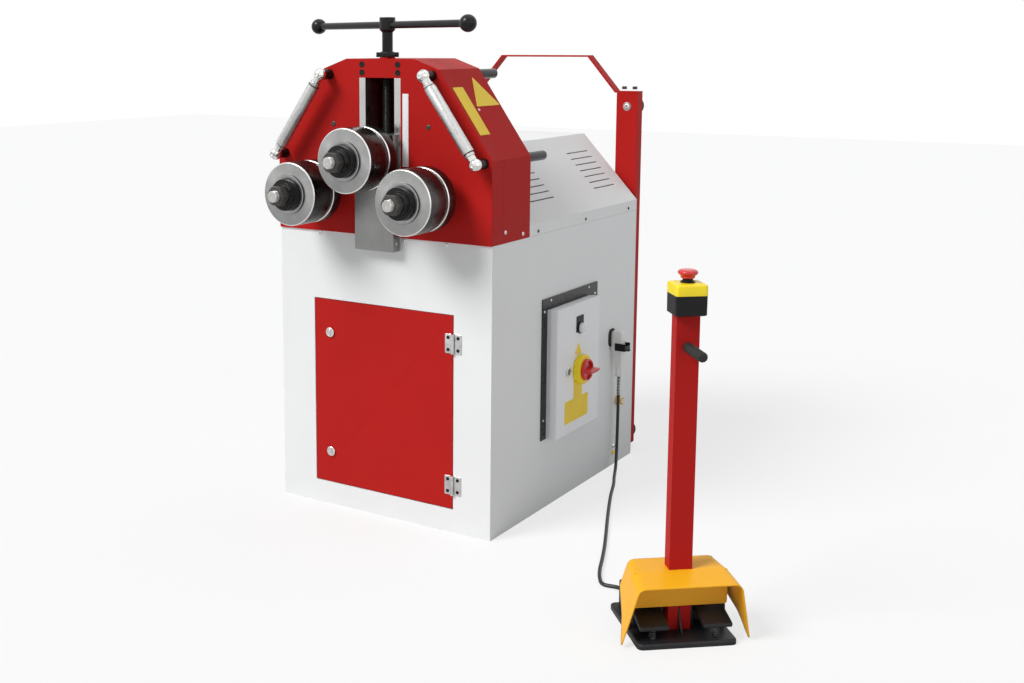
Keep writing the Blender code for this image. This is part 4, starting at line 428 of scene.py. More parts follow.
def squircles(rows, spot, facing, steps=96):
    """Rows (h, half a, half b, power): r(angle) = (|cos/half a|^power + |sin/half b|^power)^(-1/power)."""
    rows = np.asarray(rows, float)
    angle = np.linspace(0, 2 * np.pi, steps, endpoint=False)[None, :]
    h, half_a, half_b, power = (rows[:, i:i + 1] for i in range(4))
    small = 1e-7
    share_a = np.abs(np.cos(angle) / (half_a + small)) ** power
    share_b = np.abs(np.sin(angle) / (half_b + small)) ** power
    radius = (share_a + share_b) ** (-1 / power)
    a, b, n = (np.array(axis, float) for axis in facing)
    points = (radius * np.cos(angle))[..., None] * a + (radius * np.sin(angle))[..., None] * b
    return skin(points + h[..., None] * n + np.asarray(spot, float))


# %% Tubes and coils
def tube(path, radius, steps=16, hint=(0, 0, 1)):
    """A circle carried along a path: its plane is square to the path's direction at each point."""
    path = np.asarray(path, float)
    along = np.gradient(path, axis=0)
    along = along / np.linalg.norm(along, axis=1)[:, None]
    side = np.cross(np.broadcast_to(hint, along.shape), along)
    side = side / np.maximum(np.linalg.norm(side, axis=1), 1e-9)[:, None]
    other = np.cross(along, side)
    angle = np.linspace(0, 2 * np.pi, steps, endpoint=False)[None, :, None]
    radius = np.broadcast_to(radius, len(path))[:, None, None]
    points = path[:, None] + radius * (np.cos(angle) * side[:, None] + np.sin(angle) * other[:, None])
    return skin(points, first=True, last=True)


def coil(spot, direction, radius, wire, turns, length, a_turn=28, steps=10):
    """Wire round an axis: its centre line is spot + length t along + radius (cos w, sin w), where w is
    360 degrees x turns x t."""
    side, other, along = axes(direction)
    t = np.linspace(0, 1, int(turns * a_turn) + 1)[:, None]
    w = 2 * np.pi * turns * t
    out = np.cos(w) * side + np.sin(w) * other
    line = np.asarray(spot, float) + length * t * along + radius * out
    return tube(line, wire / 2, steps, hint=along)


# %% [markdown]
# ## Finishes
# The machine shows a handful of finishes: powder coat on sheet steel and plate, turned and ground
# steel, blackened steel, polished and zinc-plated steel, cast iron, and moulded plastics. All of
# them are built from nodes on Object coordinates, in metres, so their grain has its real size on
# every piece. Turning marks follow v of the piece's own UV map, the distance along the profile.

# %% Finish helpers
def look(name, colour, roughness, metallic=0.0, specular=0.5, coat=0.0):
    """A material with one shader; numbers that are the same all over are set on its own sockets."""
    material = bpy.data.materials.new(name)
    material.use_nodes = True
    shader = material.node_tree.nodes["Principled BSDF"]
    shader.inputs["Base Color"].default_value = (*colour, 1)
    shader.inputs["Roughness"].default_value = roughness
    shader.inputs["Metallic"].default_value = metallic
    shader.inputs["Specular IOR Level"].default_value = specular
    shader.inputs["Coat Weight"].default_value = coat
    shader.inputs["Coat Roughness"].default_value = 0.12
    return material


def grain(material, scale, detail=3.0, stretch=(1, 1, 1)):
    """A noise on Object coordinates; stretch squeezes it along an axis, as brushing does."""
    nodes, links = material.node_tree.nodes, material.node_tree.links
    place = nodes.new("ShaderNodeTexCoord")
    turn = nodes.new("ShaderNodeMapping")
    turn.inputs["Scale"].default_value = stretch
    noise = nodes.new("ShaderNodeTexNoise")
    noise.inputs["Scale"].default_value = scale
    noise.inputs["Detail"].default_value = detail
    links.new(place.outputs["Object"], turn.inputs["Vector"])
    links.new(turn.outputs["Vector"], noise.inputs["Vector"])
    return noise.outputs["Fac"]


def rings(material, per_metre):
    """A noise that changes only with v, the distance along the profile: the marks a turning tool leaves."""
    nodes, links = material.node_tree.nodes, material.node_tree.links
    place = nodes.new("ShaderNodeUVMap")
    place.uv_map = "along"
    split = nodes.new("ShaderNodeSeparateXYZ")
    noise = nodes.new("ShaderNodeTexNoise")
    noise.noise_dimensions = "1D"
    noise.inputs["Scale"].default_value = per_metre
    noise.inputs["Detail"].default_value = 4
    links.new(place.outputs["UV"], split.inputs[0])
    links.new(split.outputs["Y"], noise.inputs["W"])
    return noise.outputs["Fac"]


def remap(material, source, low, high, start=0.3, end=0.7):
    """Turns a noise between start and end into numbers between low and high."""
    node = material.node_tree.nodes.new("ShaderNodeMapRange")
    node.inputs["From Min"].default_value = start
    node.inputs["From Max"].default_value = end
    node.inputs["To Min"].default_value = low
    node.inputs["To Max"].default_value = high
    material.node_tree.links.new(source, node.inputs["Value"])
    return node.outputs["Result"]


def tint(material, source, dark, light, start=0.3, end=0.7):
    """Base colour between two near shades, by a noise."""
    ramp = material.node_tree.nodes.new("ShaderNodeValToRGB")
    ramp.color_ramp.elements[0].position = start
    ramp.color_ramp.elements[0].color = (*dark, 1)
    ramp.color_ramp.elements[1].position = end
    ramp.color_ramp.elements[1].color = (*light, 1)
    material.node_tree.links.new(source, ramp.inputs["Fac"])
    shader = material.node_tree.nodes["Principled BSDF"]
    material.node_tree.links.new(ramp.outputs["Color"], shader.inputs["Base Color"])
    return ramp


def dull(material, source, low, high):
    """Roughness between low and high, by a noise."""
    shader = material.node_tree.nodes["Principled BSDF"]
    material.node_tree.links.new(remap(material, source, low, high), shader.inputs["Roughness"])


def relief(material, source, depth, strength=1.0, edge=0.0):
    """Bump of a depth in metres; edge above zero also rounds sharp edges in the shading by that radius."""
    nodes, links = material.node_tree.nodes, material.node_tree.links
    bump = nodes.new("ShaderNodeBump")
    bump.inputs["Distance"].default_value = depth
    bump.inputs["Strength"].default_value = strength
    links.new(source, bump.inputs["Height"])
    if edge:
        bevel = nodes.new("ShaderNodeBevel")
        bevel.samples = 4
        bevel.inputs["Radius"].default_value = edge
        links.new(bevel.outputs["Normal"], bump.inputs["Normal"])
    links.new(bump.outputs["Normal"], nodes["Principled BSDF"].inputs["Normal"])


# %% [markdown]
# ### Painted sheet and plate
# Powder coat is smooth but never flat: it dries with a fine orange peel, about a millimetre from
# hill to hill, and its gloss drifts a little over a large sheet. Bent edges are round, which the
# Bevel node shows on flat CAD faces without touching their mesh.

# %% Powder coats
def powder_coat(name, colour, roughness=0.36, specular=0.4, drift=0.03):
    """Paint with orange peel: a millimetre noise as bump, a decimetre noise in colour and gloss."""
    material = look(name, colour, roughness, specular=specular)
    wide = grain(material, 5.0, 2.0)
    tint(material, wide, [c * (1 - drift) for c in colour], [min(1, c * (1 + drift)) for c in colour])
    dull(material, wide, roughness - 0.04, roughness + 0.05)
    relief(material, grain(material, 850.0, 2.0), 0.00004, 0.5, edge=0.0012)
    return material


red_paint = powder_coat("red powder coat", (0.44, 0.014, 0.012), 0.44, 0.07)
plate_paint = powder_coat("red enamel on plate", (0.44, 0.014, 0.012), 0.42, 0.07)
shell_paint = powder_coat("light grey powder coat", (0.80, 0.81, 0.81), 0.42, 0.35, 0.012)
box_paint = powder_coat("grey panel coat", (0.84, 0.85, 0.87), 0.38, 0.35, 0.012)
guard_paint = powder_coat("yellow powder coat", (0.88, 0.43, 0.012), 0.36, 0.25)

# %% [markdown]
# ### Machined steel
# A roll's face is turned: its marks are rings round the axis and they stretch the highlight
# across them, which anisotropy along u shows. The rim, the raised ring's walls and the gap between
# the rolls get a near-black, slightly smoother steel that stands for the shade they lie in: painted
# shade. The edges between face and rim get a much brighter steel: a painted highlight. The slider
# is ground flat in strokes.

# %% Steels
def turned_steel(name, colour, roughness, per_metre, depth, anisotropic=0.0, mottle=0.08):
    """Metal with rings in v and a soft mottling in its gloss."""
    material = look(name, colour, roughness, metallic=1.0)
    wide = grain(material, 38.0, 4.0)
    tint(material, wide, [c * (1 - mottle) for c in colour], [min(1, c * (1 + mottle)) for c in colour])
    dull(material, grain(material, 90.0, 3.0), roughness * 0.85, roughness * 1.2)
    relief(material, rings(material, per_metre), depth, 0.6)
    if anisotropic:
        shader = material.node_tree.nodes["Principled BSDF"]
        shader.inputs["Anisotropic"].default_value = anisotropic
        tangent = material.node_tree.nodes.new("ShaderNodeTangent")
        tangent.direction_type = "UV_MAP"
        tangent.uv_map = "along"
        material.node_tree.links.new(tangent.outputs["Tangent"], shader.inputs["Tangent"])
    return material


def flat_steel(name, colour, roughness, scale, stretch, depth, mottle=0.08, edge=0.0008):
    """Metal with straight grinding strokes: a noise squeezed along one axis."""
    material = look(name, colour, roughness, metallic=1.0)
    stroke = grain(material, scale, 4.0, stretch)
    tint(material, grain(material, 14.0, 4.0), [c * (1 - mottle) for c in colour],
         [min(1, c * (1 + mottle)) for c in colour])
    dull(material, stroke, roughness * 0.8, roughness * 1.25)
    relief(material, stroke, depth, 0.5, edge=edge)
    return material


roll_face = turned_steel("turned steel", (0.36, 0.36, 0.355), 0.34, 2600.0, 0.00003, 0.55)
# Near-black steel: painted shade on the rolls' rims, the raised rings' walls and the gaps between the rolls;
# it is also a little smoother.
roll_shade_steel = turned_steel("roll steel with painted shade", (0.085, 0.085, 0.083), 0.30, 1400.0, 0.00002, 0.0, 0.22)
# Very bright steel: a painted highlight on the rolls' edges and on the back roll's narrow front face.
roll_highlight_steel = turned_steel("roll steel with painted highlight", (0.82, 0.82, 0.80), 0.22, 900.0, 0.00001)
shaft_steel = turned_steel("bright shaft", (0.62, 0.61, 0.59), 0.24, 1800.0, 0.00002, 0.3)
chrome = turned_steel("polished plating", (0.78, 0.78, 0.76), 0.10, 300.0, 0.0, 0.0, 0.04)
slide_steel = flat_steel("ground slider", (0.29, 0.29, 0.285), 0.33, 420.0, (1, 1, 0.04), 0.00002)
rail_steel = flat_steel("planed rail", (0.60, 0.60, 0.59), 0.30, 420.0, (1, 1, 0.03), 0.00002)
zinc = turned_steel("zinc plating", (0.66, 0.67, 0.66), 0.30, 500.0, 0.00001, 0.0, 0.16)
dark_steel = flat_steel("dark steel", (0.14, 0.14, 0.14), 0.40, 300.0, (1, 1, 0.1), 0.00002)

# %% [markdown]
# ### The zinc-plated guide rollers
# These thin rollers are bright-plated tubes. Plating on drawn tube is cloudy: patches of about a
# centimetre differ in gloss, and a grain of a few millimetres drifts in brightness.

# %% Cloudy plating
tube_plating = look("cloudy plating", (0.62, 0.62, 0.61), 0.34, metallic=1.0)
tint(tube_plating, grain(tube_plating, 420.0, 5.0), (0.46, 0.46, 0.455), (0.72, 0.72, 0.71), 0.30, 0.70)
dull(tube_plating, grain(tube_plating, 120.0, 4.0), 0.26, 0.46)
relief(tube_plating, grain(tube_plating, 900.0, 3.0), 0.00002, 0.3)

# %% Blackened and cast metal
def blackened(name, colour, roughness, scale=260.0, depth=0.00003, specular=0.5, edge=0.0):
    """Black oxide or cast iron: a dark coat over a fine grain."""
    material = look(name, colour, roughness, specular=specular)
    fine = grain(material, scale, 4.0)
    tint(material, grain(material, 30.0, 3.0), [c * 0.75 for c in colour], [c * 1.35 for c in colour])
    dull(material, fine, roughness * 0.85, roughness * 1.15)
    relief(material, fine, depth, 0.6, edge=edge)
    return material


black_oxide = blackened("black oxide", (0.007, 0.007, 0.007), 0.24, specular=0.25)
nut_oxide = blackened("oiled nut", (0.050, 0.046, 0.042), 0.30, specular=0.45)
black_paint = blackened("black enamel", (0.010, 0.010, 0.011), 0.30, 120.0, 0.00002, 0.5, edge=0.0010)
cast_black = blackened("black cast base", (0.014, 0.014, 0.016), 0.42, 900.0, 0.00012, 0.30, edge=0.0012)
cast_grey = blackened("grey casting", (0.20, 0.20, 0.20), 0.55, 500.0, 0.00015, 0.4, edge=0.001)

# %% Plastics and rubber
def moulded(name, colour, roughness, scale=1400.0, depth=0.00003, specular=0.5, coat=0.0):
    """Moulded plastic: a very fine spark-eroded grain and an even colour."""
    material = look(name, colour, roughness, specular=specular, coat=coat)
    tint(material, grain(material, 20.0, 2.0), [c * 0.97 for c in colour], [min(1, c * 1.03) for c in colour])
    relief(material, grain(material, scale, 2.0), depth, 0.4, edge=0.0006)
    return material


black_plastic = moulded("black plastic", (0.009, 0.009, 0.010), 0.38, specular=0.2)
white_plastic = moulded("white plastic", (0.78, 0.78, 0.76), 0.34)
red_plastic = moulded("red plastic", (0.62, 0.018, 0.020), 0.24, depth=0.00001, coat=0.3)
yellow_plastic = moulded("yellow plastic", (0.90, 0.70, 0.008), 0.34)
label_yellow = moulded("yellow plate", (0.88, 0.62, 0.010), 0.40)
lens_plastic = moulded("clear lens", (0.74, 0.75, 0.76), 0.12, depth=0.0, coat=0.6)
rubber = moulded("rubber", (0.016, 0.016, 0.016), 0.62, 600.0, 0.00012, 0.35)
cord_rubber = moulded("cord rubber", (0.016, 0.016, 0.017), 0.42, 500.0, 0.00008, 0.45)
brass = turned_steel("brass", (0.74, 0.46, 0.14), 0.24, 1200.0, 0.00002)

# %% [markdown]
# ### The scale plate
# The aluminium plate beside the slider shows how far the upper roll has come down. It has a line
# every 2 mm and a longer one every 10 mm, engraved so finely that they fade from a distance. The
# lines are a rule on height: z divided by the pitch, its fraction compared with the line's width.

# %% Scale aluminium
scale_aluminium = look("engraved aluminium", (0.86, 0.86, 0.86), 0.40, specular=0.4)
nodes = scale_aluminium.node_tree.nodes
links = scale_aluminium.node_tree.links
spot = nodes.new("ShaderNodeTexCoord")
split = nodes.new("ShaderNodeSeparateXYZ")
links.new(spot.outputs["Object"], split.inputs[0])


def maths(operation, first, second, third=None):
    """One Math node; first is a socket and the others are numbers or sockets."""
    node = nodes.new("ShaderNodeMath")
    node.operation = operation
    for socket, value in zip(node.inputs, (first, second, third)):
        if isinstance(value, bpy.types.NodeSocket):
            links.new(value, socket)
        elif value is not None:
            socket.default_value = value
    return node.outputs[0]


def ruled(pitch, width, from_x):
    """1 on a line every pitch of height, on the part of the plate to the right of from_x."""
    share = maths("FRACT", maths("DIVIDE", split.outputs["Z"], pitch), 0.0)
    on_line = maths("LESS_THAN", share, width / pitch)
    return maths("MULTIPLY", on_line, maths("GREATER_THAN", split.outputs["X"], from_x))


marks = maths("MAXIMUM", ruled(0.002, 0.00022, 0.0800), ruled(0.010, 0.00030, 0.0760))
tint(scale_aluminium, marks, (0.88, 0.88, 0.88), (0.45, 0.45, 0.45), 0.0, 1.0)
relief(scale_aluminium, grain(scale_aluminium, 500.0, 2.0, (1, 1, 0.05)), 0.00001, 0.3, edge=0.0004)
print("finishes:", len(bpy.data.materials))

# %% [markdown]
# ## CAD nodes that stay
# Sheet-metal shells, plates, posts and rails already have their true form in the frame, so they
# keep it and only get their finish.

# %% Dress the flat nodes
DRESS = {
    "cabinet": shell_paint, "hood": shell_paint, "panel_box": box_paint, "front_plate": plate_paint,
    "head_cover": red_paint, "left_post": red_paint, "right_post": red_paint, "rear_strap": red_paint,
    "pedal_post": red_paint, "left_rail": rail_steel, "right_rail": rail_steel,
    "bearing_plate": dark_steel, "panel_surround": black_paint, "gearmotor": cast_grey,
    "scale_plate": scale_aluminium, "slider": slide_steel, "drive_pinion": dark_steel,
    "socket_lever": black_plastic, "stop_stem": black_plastic, "left_shaft": rail_steel,
    "right_shaft": rail_steel, "upper_shaft": rail_steel, "pedal_socket": white_plastic,
}
for name, finish in DRESS.items():
    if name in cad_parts:
        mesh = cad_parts[name].data
        mesh.materials.clear()
        mesh.materials.append(finish)
print("dressed:", sum(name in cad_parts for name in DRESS), "nodes of", sorted(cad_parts))

# %% [markdown]
# ## The roll sets
# Each shaft carries a main roll with a raised ring on its face, and behind it a narrower roll on a
# spacer. A black washer and a hexagon nut clamp them. All of it is turned work, so each part is
# one profile carried round the shaft. Corners are softened by half a millimetre, because a real
# edge is never sharp and the thin bright line it gives is what the eye reads as metal. On the rolls
# that line is also painted, as a much brighter steel on the edges: a painted highlight. Their rims,
# the walls of the raised ring and the gap between the rolls are painted near-black: painted shade.

# %% Rolls
ROLL_FACE_Y = -0.582
SHAFT_BORE = 0.0253
MAIN_ROLL = [(0.070, SHAFT_BORE), (0.070, 0.0780), (0.0680, 0.0800), (0.0024, 0.0800), (0.0, 0.0776),
             (0.0, 0.0500), (-0.006, 0.0500), (-0.006, 0.0398), (0.0, 0.0398), (0.0, SHAFT_BORE),
             (0.070, SHAFT_BORE)]
# Finish of each stretch: 0 turned face, 1 painted highlight on the edges, 2 painted shade on the rim, the
# raised ring's walls, the face inside the ring and the bore.
MAIN_KINDS = [0, 1, 2, 1, 0, 2, 0, 2, 2, 2]
REAR_ROLL = [(0.112, SHAFT_BORE), (0.112, 0.0785), (0.1105, 0.0800), (0.0825, 0.0800), (0.0803, 0.0780),
             (0.0803, 0.0700), (0.0703, 0.0700), (0.0703, SHAFT_BORE), (0.112, SHAFT_BORE)]
# On the back roll the painted highlight covers its front rim and narrow front face, and painted shade covers
# the rest, the spacer in the gap included.
REAR_KINDS = [2, 2, 2, 1, 1, 2, 2, 2]
WASHER = [(-0.0003, 0.0143), (-0.0003, 0.0395), (-0.021, 0.0395), (-0.021, 0.0300), (-0.030, 0.0270),
          (-0.030, 0.0143), (-0.0003, 0.0143)]


def hex_nut(spot, direction, corner, width, bore, steps=72):
    """A hexagon whose ends a cone cuts: r = the smaller of the cone's radius and the hexagon's."""
    cut = corner * 0.13
    rows = [(0, bore), (0, corner * 0.90), (cut * 0.5, corner * 0.97), (cut, corner * 1.03),
            (width - cut, corner * 1.03), (width - cut * 0.5, corner * 0.97), (width, corner * 0.90),
            (width, bore), (0, bore)]
    limits = [NO_LIMIT] + [corner] * 6 + [NO_LIMIT] * 2
    return turned(rows, spot, direction, steps, corners=limits)


def threaded_end(spot, start, end, radius, pitch, steps=48):
    """A shaft end with a helical thread, a chamfer and a drilled centre."""
    rows = np.linspace(start, end - 0.002, int((end - start) / pitch * 12))
    threads = np.column_stack([rows, np.full(len(rows), radius)])
    nose = [(end - 0.002, radius), (end, radius - 0.002), (end, 0.0042), (end - 0.0035, 0.0030),
            (end - 0.0035, 0.0)]
    profile = np.vstack([[(start, 0.0)], threads, nose])
    return turned(profile, spot, (0, -1, 0), steps, thread=(pitch, pitch * 0.55, start, end - 0.0022))


def roll_set(name, x, z):
    """The four turned parts on one roll shaft."""
    spot = (x, ROLL_FACE_Y, z)
    body = name + "_roll_set"
    inward = (0, 1, 0)
    main = turned_soft(MAIN_ROLL, 0.0005, spot, inward, kinds=MAIN_KINDS, rounding=2, steps=144)
    piece(name + "_main_roll", [main], [roll_face, roll_highlight_steel, roll_shade_steel], body,
          [name + "_roll"])
    rear = turned_soft(REAR_ROLL, 0.0005, spot, inward, kinds=REAR_KINDS, rounding=2, steps=144)
    piece(name + "_back_roll", [rear], [roll_face, roll_highlight_steel, roll_shade_steel], body,
          [name + "_rear_roll"])
    washer = turned_soft(WASHER, 0.0010, spot, inward, steps=96)
    face = (x, ROLL_FACE_Y - 0.0302, z)
    nut = hex_nut(face, (0, -1, 0), 0.0265, 0.0238, 0.0143)
    piece(name + "_washer", [washer], [black_oxide], body, [name + "_nut"])
    piece(name + "_clamp_nut", [nut], [nut_oxide], body)
    end = threaded_end(spot, 0.050, 0.0676, 0.0142, 0.002)
    piece(name + "_shaft_end", [end], [shaft_steel], body)


for name, x, z in (("left", -0.170, 0.851), ("right", 0.170, 0.851), ("upper", 0.0, 0.942)):
    roll_set(name, x, z)

# %% [markdown]
# ## Spindle, handle and lock nut
# The spindle has a hub with a cross bar through it and a forged ball at each end. Under the head
# its thread pushes the slider. A lugged nut on top of the head locks it. A ball and its bar are
# one profile, a half circle with a straight on it, so there is no seam where they meet.

# %% Spindle and bar
SPINDLE_SPOT = (0.0, -0.393, 0.0)
HANDLE_TURN = np.radians(-21.2)
HANDLE_Z = 1.268
BAR_RADIUS = 0.009
BALL_RADIUS = 0.0205
BAR_REACH = 0.3267


def ball_rows(centre, radius, start, end, count=20):
    """t = centre + radius cos w, r = radius sin w, for w from start to end."""
    w = np.linspace(start, end, count)
    return np.column_stack([centre + radius * np.cos(w), radius * np.sin(w)])


thread_rows = np.linspace(0.9905, 1.165, 260)
spindle_profile = np.vstack([
    [(0.982, 0.0), (0.982, 0.018), (0.990, 0.018), (0.990, 0.0135)],
    np.column_stack([thread_rows, np.full(260, 0.0135)]),
    soften([(1.168, 0.0135), (1.250, 0.0135), (1.256, 0.0200), (1.287, 0.0200), (1.287, 0.0)], 0.0016),
])
spindle = turned(spindle_profile, SPINDLE_SPOT, (0, 0, 1), 64, thread=(0.006, 0.0022, 0.9905, 1.165))
waist = np.arcsin(BAR_RADIUS / BALL_RADIUS)
bar_profile = np.vstack([
    ball_rows(BAR_REACH, BALL_RADIUS, 0.0, np.pi - waist),
    ball_rows(-BAR_REACH, BALL_RADIUS, waist, np.pi),
])
along_bar = (np.cos(HANDLE_TURN), np.sin(HANDLE_TURN), 0.0)
bar = turned(bar_profile, (0.0, -0.393, HANDLE_Z), along_bar, 40)
piece("spindle_and_bar", [spindle, bar], [black_oxide], "spindle", ["spindle"])

# %% Lock nut
LUG_REACH = 0.029
LUG_HALF = 0.006
angle = np.arange(4) * np.pi / 2 + np.pi / 4
lug = np.arcsin(LUG_HALF / LUG_REACH)
root = np.arcsin(LUG_HALF / 0.020)
turns = (angle[:, None] + np.array([-root, -lug, lug, root, np.pi / 4])).ravel()
reach = np.tile([0.020, LUG_REACH, LUG_REACH, 0.020, 0.020], 4)
nut_outline = soften(np.column_stack([reach * np.cos(turns), reach * np.sin(turns)]), 0.0025, 4, closed=True)
levels = rounded_edge(1.1888, 1.2008, 0.0012, 0.0012)
lock = stack(nut_outline, levels, SPINDLE_SPOT, FACING_UP)
ring = turned_soft([(1.1888, 0.0142), (1.2022, 0.0142), (1.2022, 0.0175), (1.1888, 0.0175), (1.1888, 0.0142)],
                   0.0006, SPINDLE_SPOT, (0, 0, 1), steps=48)
piece("lugged_lock_nut", [lock, ring], [black_oxide], "lock_nut", ["lock_nut"])

# %% [markdown]
# ## Side guides
# A plated roller turns on an axle between two ball-ended rods that slide through the head, to
# steer the bent bar. The roller has a groove and a smaller step near each end. Seen from behind,
# the rods are long black bars with rounded ends.

# %% Guides
GUIDE_Y = -0.469
GUIDE_ROD_TIP = 0.341


def guide(name, side):
    """Rods, balls and roller of one guide, from the top ball to the low one."""
    top = np.array([side * 0.155, GUIDE_Y, 1.145])
    low = np.array([side * 0.302, GUIDE_Y, 0.9385])
    middle = (top + low) / 2
    half = np.linalg.norm(top - low) / 2
    reach = half - 0.0235
    waist = np.arcsin(0.011 / 0.016)
    axle_end = reach + 0.0004
    axle = np.vstack([
        ball_rows(half, 0.016, 0.0, np.pi - waist, 16),
        [(axle_end, 0.011), (axle_end, 0.0079), (-axle_end, 0.0079), (-axle_end, 0.011)],
        ball_rows(-half, 0.016, waist, np.pi, 16),
    ])
    shapes = [turned(axle, middle, top - low, 40, hint=(0, 1, 0))]
    for spot in (top, low):
        key = [(0.0150, 0.0032), (0.0182, 0.0032), (0.0182, 0.0060), (0.0172, 0.0072), (0.0, 0.0072)]
        limits = [0.0034, 0.0034] + [NO_LIMIT] * 3
        shapes.append(turned(key, spot, (0, -1, 0), 36, corners=limits))
    piece(name + "_guide_balls", shapes, [chrome], name + "_guide", [name + "_guide"])
    rod = [(0.0, 0.0), (0.0, 0.0125), (GUIDE_ROD_TIP, 0.0125), (GUIDE_ROD_TIP, 0.0)]
    rods = [turned_soft(rod, 0.004, spot, (0, 1, 0), steps=40) for spot in (top, low)]
    piece(name + "_guide_rods", rods, [black_oxide], name + "_guide")
    ends = [(reach, 0.0083), (reach, 0.0128), (reach - 0.0075, 0.0128), (reach - 0.0075, 0.0112),
            (reach - 0.0095, 0.0112), (reach - 0.0095, 0.0150)]
    profile = ends + [(-t, r) for t, r in reversed(ends)] + [ends[0]]
    kinds = [0, 0, 1, 1, 1, 0, 1, 1, 1, 0, 0, 0]
    roller = turned_soft(profile, 0.0008, middle, top - low, kinds=kinds, rounding=3, steps=56)
    piece(name + "_roller", [roller], [tube_plating, dark_steel], name + "_guide_roller",
          [name + "_guide_roller"])


guide("left", -1)
guide("right", 1)

# %% [markdown]
# ## The cabinet door
# A shallow red tray hangs in the front on two steel hinges and shuts with two quarter-turn
# latches. The tray's rim is folded, so its face has small round edges. Each hinge is two leaves
# and three knuckles, with four small socket screws.

# %% Door tray and hinges
door_outline = rectangle(-0.2145, 0.2145, 0.0615, 0.5585, 0.0015)
door_shape = tray(door_outline, -0.015, 0.0, 0.002, (0, FRONT_Y, 0), FACING_FRONT, 0.0014)
piece("door_tray", [door_shape], [red_paint], "door", ["door"])


def dome_screw(spot, direction, radius, height, socket=0.45):
    """A button head with a hexagon socket."""
    rows = [(0, 0), (0, radius), (height * 0.45, radius), (height * 0.85, radius * 0.80),
            (height, radius * 0.60), (height, radius * socket), (height, radius * socket),
            (height * 0.45, radius * socket), (height * 0.45, 0)]
    limits = [NO_LIMIT] * 6 + [radius * socket] * 2 + [NO_LIMIT]
    return turned(rows, spot, direction, 24, corners=limits)


def leaf(x_low, x_high, z, y):
    """One hinge leaf with two screws."""
    body = plate(rectangle(x_low, x_high, z - 0.025, z + 0.025, 0.003), 0.0, 0.0022, (0, y, 0), FACING_FRONT)
    middle = (x_low + x_high) / 2
    screws = [dome_screw((middle, y - 0.0022, z + h), (0, -1, 0), 0.0045, 0.0012) for h in (-0.0155, 0.0155)]
    return [body], screws


for name, z in (("lower", 0.1235), ("upper", 0.4875)):
    flap, flap_screws = leaf(0.1915, 0.2105, z, FRONT_Y)
    fixed, fixed_screws = leaf(0.2200, 0.2395, z, FRONT_Y)
    knuckles = [turned_soft([(low, 0), (low, 0.0046), (high, 0.0046), (high, 0)], 0.0005,
                            (0.21525, -0.4277, z), (0, 0, 1), steps=28)
                for low, high in ((-0.025, -0.0087), (0.0087, 0.025))]
    middle = turned_soft([(-0.0083, 0.0021), (-0.0083, 0.0046), (0.0083, 0.0046), (0.0083, 0.0021),
                          (-0.0083, 0.0021)], 0.0004, (0.21525, -0.4277, z), (0, 0, 1), steps=28)
    piece(name + "_hinge_flap", flap + [middle], [zinc], "door")
    piece(name + "_hinge_flap_screws", flap_screws, [black_oxide], "door")
    piece(name + "_hinge_leaf", fixed + knuckles, [zinc], "base", [name + "_hinge"])
    piece(name + "_hinge_leaf_screws", fixed_screws, [black_oxide], "base")

# %% Latches
for name, z in (("lower", 0.1465), ("upper", 0.471)):
    spot = (-0.164, FRONT_Y, z)
    head = turned_soft([(0.0003, 0.0), (0.0003, 0.013), (0.0042, 0.013), (0.0055, 0.0115), (0.0055, 0.0082),
                        (0.0040, 0.0078), (0.0040, 0.0)], 0.0004, spot, (0, -1, 0), steps=48)
    key = plate(rectangle(-0.0030, 0.0030, -0.0072, 0.0072, 0.001), 0.003, 0.0068, spot, FACING_FRONT)
    stem = turned([(-0.0168, 0.0), (-0.0168, 0.0068), (0.0003, 0.0068), (0.0003, 0.0)], spot, (0, -1, 0), 24)
    cam = plate(rectangle(-0.008, 0.008, -0.008, 0.062, 0.003), -0.0183, -0.0155, spot, FACING_FRONT)
    piece(name + "_latch_knob", [head, key, stem, cam], [chrome], name + "_latch",
          [name + "_latch"])

# %% [markdown]
# ## The control box door
# A sheet-steel lid on a sunk box carries the red and yellow main switch, a signal lamp on a black
# plate and a small lock. Below the switch hangs a blank yellow plate.

# %% Panel lid
PANEL_X = 0.359
lid_outline = rectangle(-0.140, 0.112, 0.190, 0.538, 0.004)
lid = tray(lid_outline, 0.3365, PANEL_X, 0.002, (0, 0, 0), FACING_RIGHT, 0.003)
piece("panel_lid", [lid], [box_paint], "panel_door", ["panel_door"])
switch_spot = (PANEL_X, -0.010, 0.358)
yellow = turned_soft([(0.0, 0.0), (0.0, 0.040), (0.018, 0.040), (0.018, 0.0)], 0.003, switch_spot, (1, 0, 0),
                     steps=72)
label = soften([(-0.042, 0.334), (-0.042, 0.282), (-0.094, 0.282), (-0.094, 0.221), (0.044, 0.221),
                (0.044, 0.282), (0.006, 0.282), (0.006, 0.334)], 0.002, 3, closed=True)
tag = plate(label, 0.0, 0.0009, (PANEL_X, 0, 0), FACING_RIGHT, 0.0003)
peak = soften([(-0.0385, 0.4015), (0.0005, 0.4015), (-0.019, 0.4315)], 0.003, 3, closed=True)
small = plate(peak, 0.0, 0.0009, (PANEL_X, 0, 0), FACING_RIGHT, 0.0003)
piece("switch_plate", [yellow], [yellow_plastic], "panel_door")
piece("blank_yellow_plates", [tag, small], [label_yellow], "panel_door")

# %% Switch handle
dial = turned_soft([(0.0183, 0.0), (0.0183, 0.029), (0.0285, 0.029), (0.0285, 0.0245), (0.0215, 0.0225),
                    (0.0215, 0.0)], 0.0012, switch_spot, (1, 0, 0), steps=64)
grip_outline = soften([(-0.026, -0.0055), (0.014, -0.0055), (0.030, -0.0022), (0.030, 0.0022),
                       (0.014, 0.0055), (-0.026, 0.0055)], 0.0022, 3, closed=True)
grip = plate(grip_outline, 0.0200, 0.0480, switch_spot, FACING_RIGHT, 0.003)
piece("switch_grip", [dial, grip], [red_plastic], "switch_handle", ["switch_handle"])

